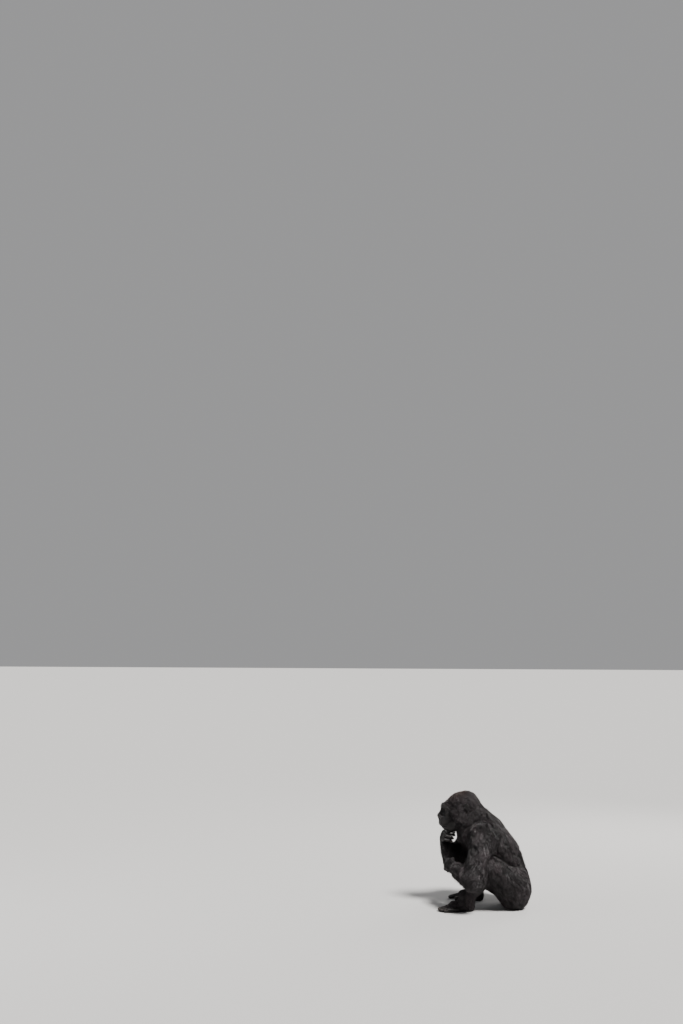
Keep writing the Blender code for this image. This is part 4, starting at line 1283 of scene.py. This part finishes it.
def lock_faces(rings):
    """Corner numbers of the faces of one lock: its sides, its tip and its root."""
    faces = []
    for k in range(rings - 1):
        for i in range(3):
            a, b = 3 * k + i, 3 * k + (i + 1) % 3
            faces.append((a, b, b + 3, a + 3))
    last = 3 * (rings - 1)
    faces += [(last + i, last + (i + 1) % 3, last + 3) for i in range(3)]
    return faces + [(2, 1, 0)]


BAKE_PATCH = 0.003  # width of a lock's patch on the map


def join_locks(name, groups):
    """One mesh of locks, with a map across and along each, one with a patch for each at its root, and each
    lock's painted light and shade.
    """
    points, loops, sizes, lies, patches, light_and_shade_values, first = [], [], [], [], [], [], 0
    for corners, faces, marks, across, rows, places, painted_light_and_tone in groups:
        pattern = np.concatenate([np.array(face) for face in faces])
        count, per_lock = corners.shape[:2]
        points.append(corners.reshape(-1, 3))
        loops.append((first + np.arange(count)[:, None] * per_lock + pattern).ravel())
        sizes.append(np.tile([len(face) for face in faces], count))
        along_lock, across_lock = marks[pattern], across[pattern]
        spread = np.broadcast_to(np.stack([across_lock, along_lock], 1), (count, len(pattern), 2))
        lies.append((spread + np.stack([rows, np.zeros(count)], 1)[:, None]).reshape(-1, 2))
        patches.append((places[:, None] + BAKE_PATCH * spread).reshape(-1, 2))
        light_and_shade_values.append(np.repeat(painted_light_and_tone, per_lock))
        first += count * per_lock
    mesh = bpy.data.meshes.new(name)
    points, loops, sizes = np.concatenate(points), np.concatenate(loops), np.concatenate(sizes)
    mesh.vertices.add(len(points))
    mesh.vertices.foreach_set("co", points.astype(np.float32).ravel())
    mesh.loops.add(len(loops))
    mesh.loops.foreach_set("vertex_index", loops.astype(np.int32))
    mesh.polygons.add(len(sizes))
    mesh.polygons.foreach_set("loop_start", np.concatenate([[0], np.cumsum(sizes)[:-1]]).astype(np.int32))
    mesh.update(calc_edges=True)
    mesh.shade_smooth()
    # each lock's painted light and shade, with its random tone, as a value on its points
    painted_light_and_tone_of = mesh.attributes.new("painted_light_and_tone", "FLOAT", "POINT").data
    painted_light_and_tone_of.foreach_set("value", np.concatenate(light_and_shade_values).astype(np.float32))
    for title, values in (("lie", lies), ("OFBake", patches)):
        flat = np.concatenate(values).astype(np.float32).ravel()
        mesh.uv_layers.new(name=title).data.foreach_set("uv", flat)
    return mesh


def unwrapped(roots, normals):
    """Places on a flat map of the skin: a chart for each of the six ways that it faces."""
    low, high = roots.min(0), roots.max(0)
    place = (roots - low) / (high - low)
    axis = np.abs(normals).argmax(1)
    back = normals[np.arange(len(roots)), axis] < 0
    x, y, z = place.T
    flat = np.stack([np.where(axis == 0, y, x), np.where(axis == 2, y, z)], 1)
    return (np.stack([axis, back], 1) + 0.02 + 0.95 * flat) / (3, 2)


BLACK_HAIR, GREY_HAIR = (0.0044, 0.0034, 0.0035), (0.0140, 0.0106, 0.0118)
BROWN_HAIR, SHEEN_GREY = (0.0170, 0.0098, 0.0078, 1), (0.84, 0.78, 0.82, 1)
CROWN_PLACE = on_head(0, 0.045, 0.085) - ORIGIN
BROWN_TO, BLACK_FROM = 0.045, 0.095  # distances from the crown
# Painted shade deep in the coat: each lock is darker at its root, under the other locks, and lighter at its
# tip.
ROOT_PAINTED_SHADE, TIP_PAINTED_LIGHT = 0.35, 1.20
COLOUR_PATCHES = 7.0  # to a metre
STRANDS = (9.0, 1.6, 1.0)  # bands of light and dark across a lock and along it
STRAND_SHADES = 0.55, 1.45
STRAND_HEIGHT = 0.0004


def coat_material():
    """Black-brown hair, finely streaked along its length, with a soft grey sheen, painted shade at its roots
    and painted light per lock.
    """
    material, shader, node = new_material("coat")

    def spread(amount, low, high, to_low, to_high):
        return node("MapRange", {"Value": amount, "From Min": low, "From Max": high, "To Min": to_low,
                                 "To Max": to_high})["Result"]

    def product(a, b):
        return node("Math", {0: a, 1: b}, operation="MULTIPLY")["Value"]

    place = node("TexCoord")["Object"]
    patches = node("TexNoise", {"Scale": COLOUR_PATCHES, "Detail": 3.0, "Vector": place})["Fac"]
    tone = colours(material, patches, (0.35, BLACK_HAIR), (0.68, GREY_HAIR))
    from_crown = node("VectorMath", {0: place, 1: CROWN_PLACE}, operation="DISTANCE")["Value"]
    near = spread(from_crown, BROWN_TO, BLACK_FROM, 1, 0)
    browned = node("Mix", {"Factor": near, "A": tone, "B": BROWN_HAIR}, data_type="RGBA")["Result"]
    on_lock = node("UVMap", uv_map="lie")["UV"]
    stretched = node("Mapping", {"Scale": STRANDS, "Vector": on_lock})["Vector"]
    strands = node("TexNoise", {"Scale": 1.0, "Detail": 2.0, "Vector": stretched})["Fac"]
    root_painted_shade = spread(node("SeparateXYZ", {"Vector": on_lock})["Y"], 0, 1, ROOT_PAINTED_SHADE, TIP_PAINTED_LIGHT)
    # Painted light and shade of each lock, times the painted shade at its root, then times the strands.
    painted_light_and_tone = product(node("Attribute", attribute_name="painted_light_and_tone")["Fac"], root_painted_shade)
    painted_light_and_tone = product(painted_light_and_tone, spread(strands, 0.3, 0.7, *STRAND_SHADES))
    feed(shader, {
        "Roughness": 0.42, "Specular IOR Level": 0.28,
        "Sheen Weight": 0.12, "Sheen Roughness": 0.30, "Sheen Tint": SHEEN_GREY,
        "Base Color": node("VectorMath", {"Vector": browned, "Scale": painted_light_and_tone}, operation="SCALE")["Vector"],
        "Normal": node("Bump", {"Strength": 0.5, "Distance": STRAND_HEIGHT, "Height": strands})["Normal"]})
    return material


MOST_IN_A_PIECE = 190000  # triangles


def coat_pieces(roots, shares, sizes):
    """The locks of each piece of the coat: one for each limb, and several where it would be too heavy."""
    limb = np.array(list(body()[0]))[shares.argmax(1)].astype("U16")
    limb[(limb == "trunk") & (roots[:, 1] < 0.02)] = "chest"
    limb[limb == "trunk"] = "back"
    for name in sorted(set(limb)):
        own = np.flatnonzero(limb == name)
        own = own[np.argsort(roots[own, 0], kind="stable")]
        parts = math.ceil(sizes[own].sum() / MOST_IN_A_PIECE)
        part = np.minimum((np.cumsum(sizes[own]) * parts / (sizes[own].sum() + 1)).astype(int), parts - 1)
        for k in range(parts):
            yield "coat_" + name + ("_" + str(k + 1)) * (parts > 1), own[part == k]


SHORT, LONG = 0.026, 0.066  # lengths up to which a lock has two stations, and past which it has four
KEPT_STATIONS = {1: [0, 2, 4], 2: [0, 1, 3, 4], 3: [0, 1, 2, 3, 4]}
WIDTHS = np.array((0.60, 1.0, 0.90, 0.58))  # at each station before the tip
LENGTHS, BREADTHS, SHADES = (0.70, 1.20), (0.75, 1.25), (0.75, 1.30)  # from least to most, as shares
SUNK_LOCK_PAINTED_SHADE, RAISED_LOCK_PAINTED_LIGHT = 0.30, 3.4  # painted shade of a sunken lock, and painted highlight of a raised one
SUNK_BY = 0.20, 0.35, 0.45  # what small bunches, large ones and streaks count for in how far a lock is sunk
PAINTED_SHADE_BY = 0.35, 0.65  # what its depth and its streak count for in its painted shade
OVER_FLOOR = 0.0020
ROW_OF_STRANDS = 997  # locks before their streaks repeat


def grow_coat():
    """All the locks, from their roots to the pieces that they make up."""
    dice = np.random.default_rng(7)
    roots, normals = lock_roots(dice)
    depth, shares, length, width, _ = hair_sizes(roots)
    length = length * dice.uniform(*LENGTHS, len(roots))
    width = width * dice.uniform(*BREADTHS, len(roots))
    halfway = roots + lie(roots, shares) * (length / 2)[:, None]
    bunches = [bunch_of(halfway, members, dice) for members in IN_A_BUNCH]
    streak = streaks(halfway, lie(halfway, shares), dice)
    sunk = SUNK_BY[0] * bunches[0][1] + SUNK_BY[1] * bunches[1][1] + SUNK_BY[2] * streak
    path, outs = lock_paths(roots, normals, depth, shares, length, sunk, dice)
    path = gathered(path, bunches)
    # Painted light and shade: locks that lie low or in dark streaks are painted darker as if shaded, and
    # raised ones and light streaks are painted lighter as if lit. A random tone comes on top.
    lit = 1 - (PAINTED_SHADE_BY[0] * sunk + PAINTED_SHADE_BY[1] * streak)
    painted_light_and_tone = (SUNK_LOCK_PAINTED_SHADE + (RAISED_LOCK_PAINTED_LIGHT - SUNK_LOCK_PAINTED_SHADE) * lit ** 1.6) * dice.uniform(*SHADES, len(roots))
    path[:, :, 2] = np.maximum(path[:, :, 2], OVER_FLOOR)
    kind = 2 - (length < SHORT) + (length > LONG)
    places, material = unwrapped(roots, normals), coat_material()
    for name, rows in coat_pieces(roots, shares, 6 * kind + 4):
        groups = []
        for rings, kept in KEPT_STATIONS.items():
            own = rows[kind[rows] == rings]
            if not len(own):
                continue
            widths = width[own, None] * WIDTHS[kept[:-1]]
            corners = lock_solids(path[own][:, kept], outs[own][:, kept], widths, dice)
            marks = np.append(np.repeat(STATIONS[kept[:-1]], 3), 1.0)
            across = np.append(np.tile((0.0, 1.0, 0.5), len(kept) - 1), 0.5)
            faces, rows_of_strands = lock_faces(len(kept) - 1), own % ROW_OF_STRANDS
            groups.append((corners, faces, marks, across, rows_of_strands, places[own], painted_light_and_tone[own]))
        finished(name, join_locks(name, groups), material, slot="coat")


grow_coat()


# ---------------------------------------------------------------- floor, light and camera

# The animal sits on a plain pale floor, lit by one large lamp high on its left and by two soft ones. The
# camera stands far off on its left side, a little above it.

FLOOR_HALF, FLOOR_GREY = 30, (0.33, 0.326, 0.322, 1)


def floor():
    """A wide square sheet."""
    mesh = bpy.data.meshes.new("floor")
    corners = [(x * FLOOR_HALF, y * FLOOR_HALF, 0) for x, y in ((-1, -1), (1, -1), (1, 1), (-1, 1))]
    mesh.from_pydata(corners, [], [(0, 1, 2, 3)])
    material, shader, _ = new_material("floor")
    feed(shader, {"Base Color": FLOOR_GREY, "Roughness": 0.9})
    mesh.materials.append(material)
    put_in_scene("floor", mesh)


MIDDLE = Vector((-0.0316, 0.0055, 0.385))  # of the animal


def soft_lamp(name, place, size, power, colour):
    """A round lamp that faces the animal."""
    data = bpy.data.lights.new(name, "AREA")
    data.shape, data.size, data.energy, data.color = "DISK", size, power, colour
    thing = put_in_scene(name, data)
    thing.location = place
    thing.rotation_euler = (MIDDLE - Vector(place)).to_track_quat("-Z", "Y").to_euler()


def key_lamp(towards, power):
    """A large, distant lamp."""
    data = bpy.data.lights.new("key", "SUN")
    data.angle, data.energy, data.color = math.radians(16), power, (1.0, 0.98, 0.95)
    put_in_scene("key", data).rotation_euler = Vector(towards).to_track_quat("Z", "Y").to_euler()


EYE_DISTANCE, EYE_RISE = 9.95, math.radians(10)
HEADING, TILT = math.radians(95.70), math.radians(93.25)  # turned left of the animal, and up over it


def view():
    """The camera, well to the left of the animal."""
    data = bpy.data.cameras.new("camera")
    data.sensor_fit, data.sensor_width, data.sensor_height, data.lens = "AUTO", 36, 36, 50
    data.clip_end = 100
    thing = put_in_scene("camera", data)
    thing.location = MIDDLE + EYE_DISTANCE * Vector((math.cos(EYE_RISE), 0, math.sin(EYE_RISE)))
    thing.rotation_euler = (TILT, 0, HEADING)
    bpy.context.scene.camera = thing


floor()
key_lamp((0.50, 0.46, 0.98), 11.5)
soft_lamp("fill", (1.2, -4.2, 2.4), 3.0, 55, (0.94, 0.96, 1.0))
soft_lamp("back", (-3.4, 1.6, 2.6), 2.6, 90, (1.0, 0.98, 0.96))
world = bpy.data.worlds.new("studio")
world.use_nodes = True
feed(world.node_tree.nodes["Background"], {"Color": (0.82, 0.82, 0.83, 1), "Strength": 0.42})
bpy.context.scene.world = world
view()
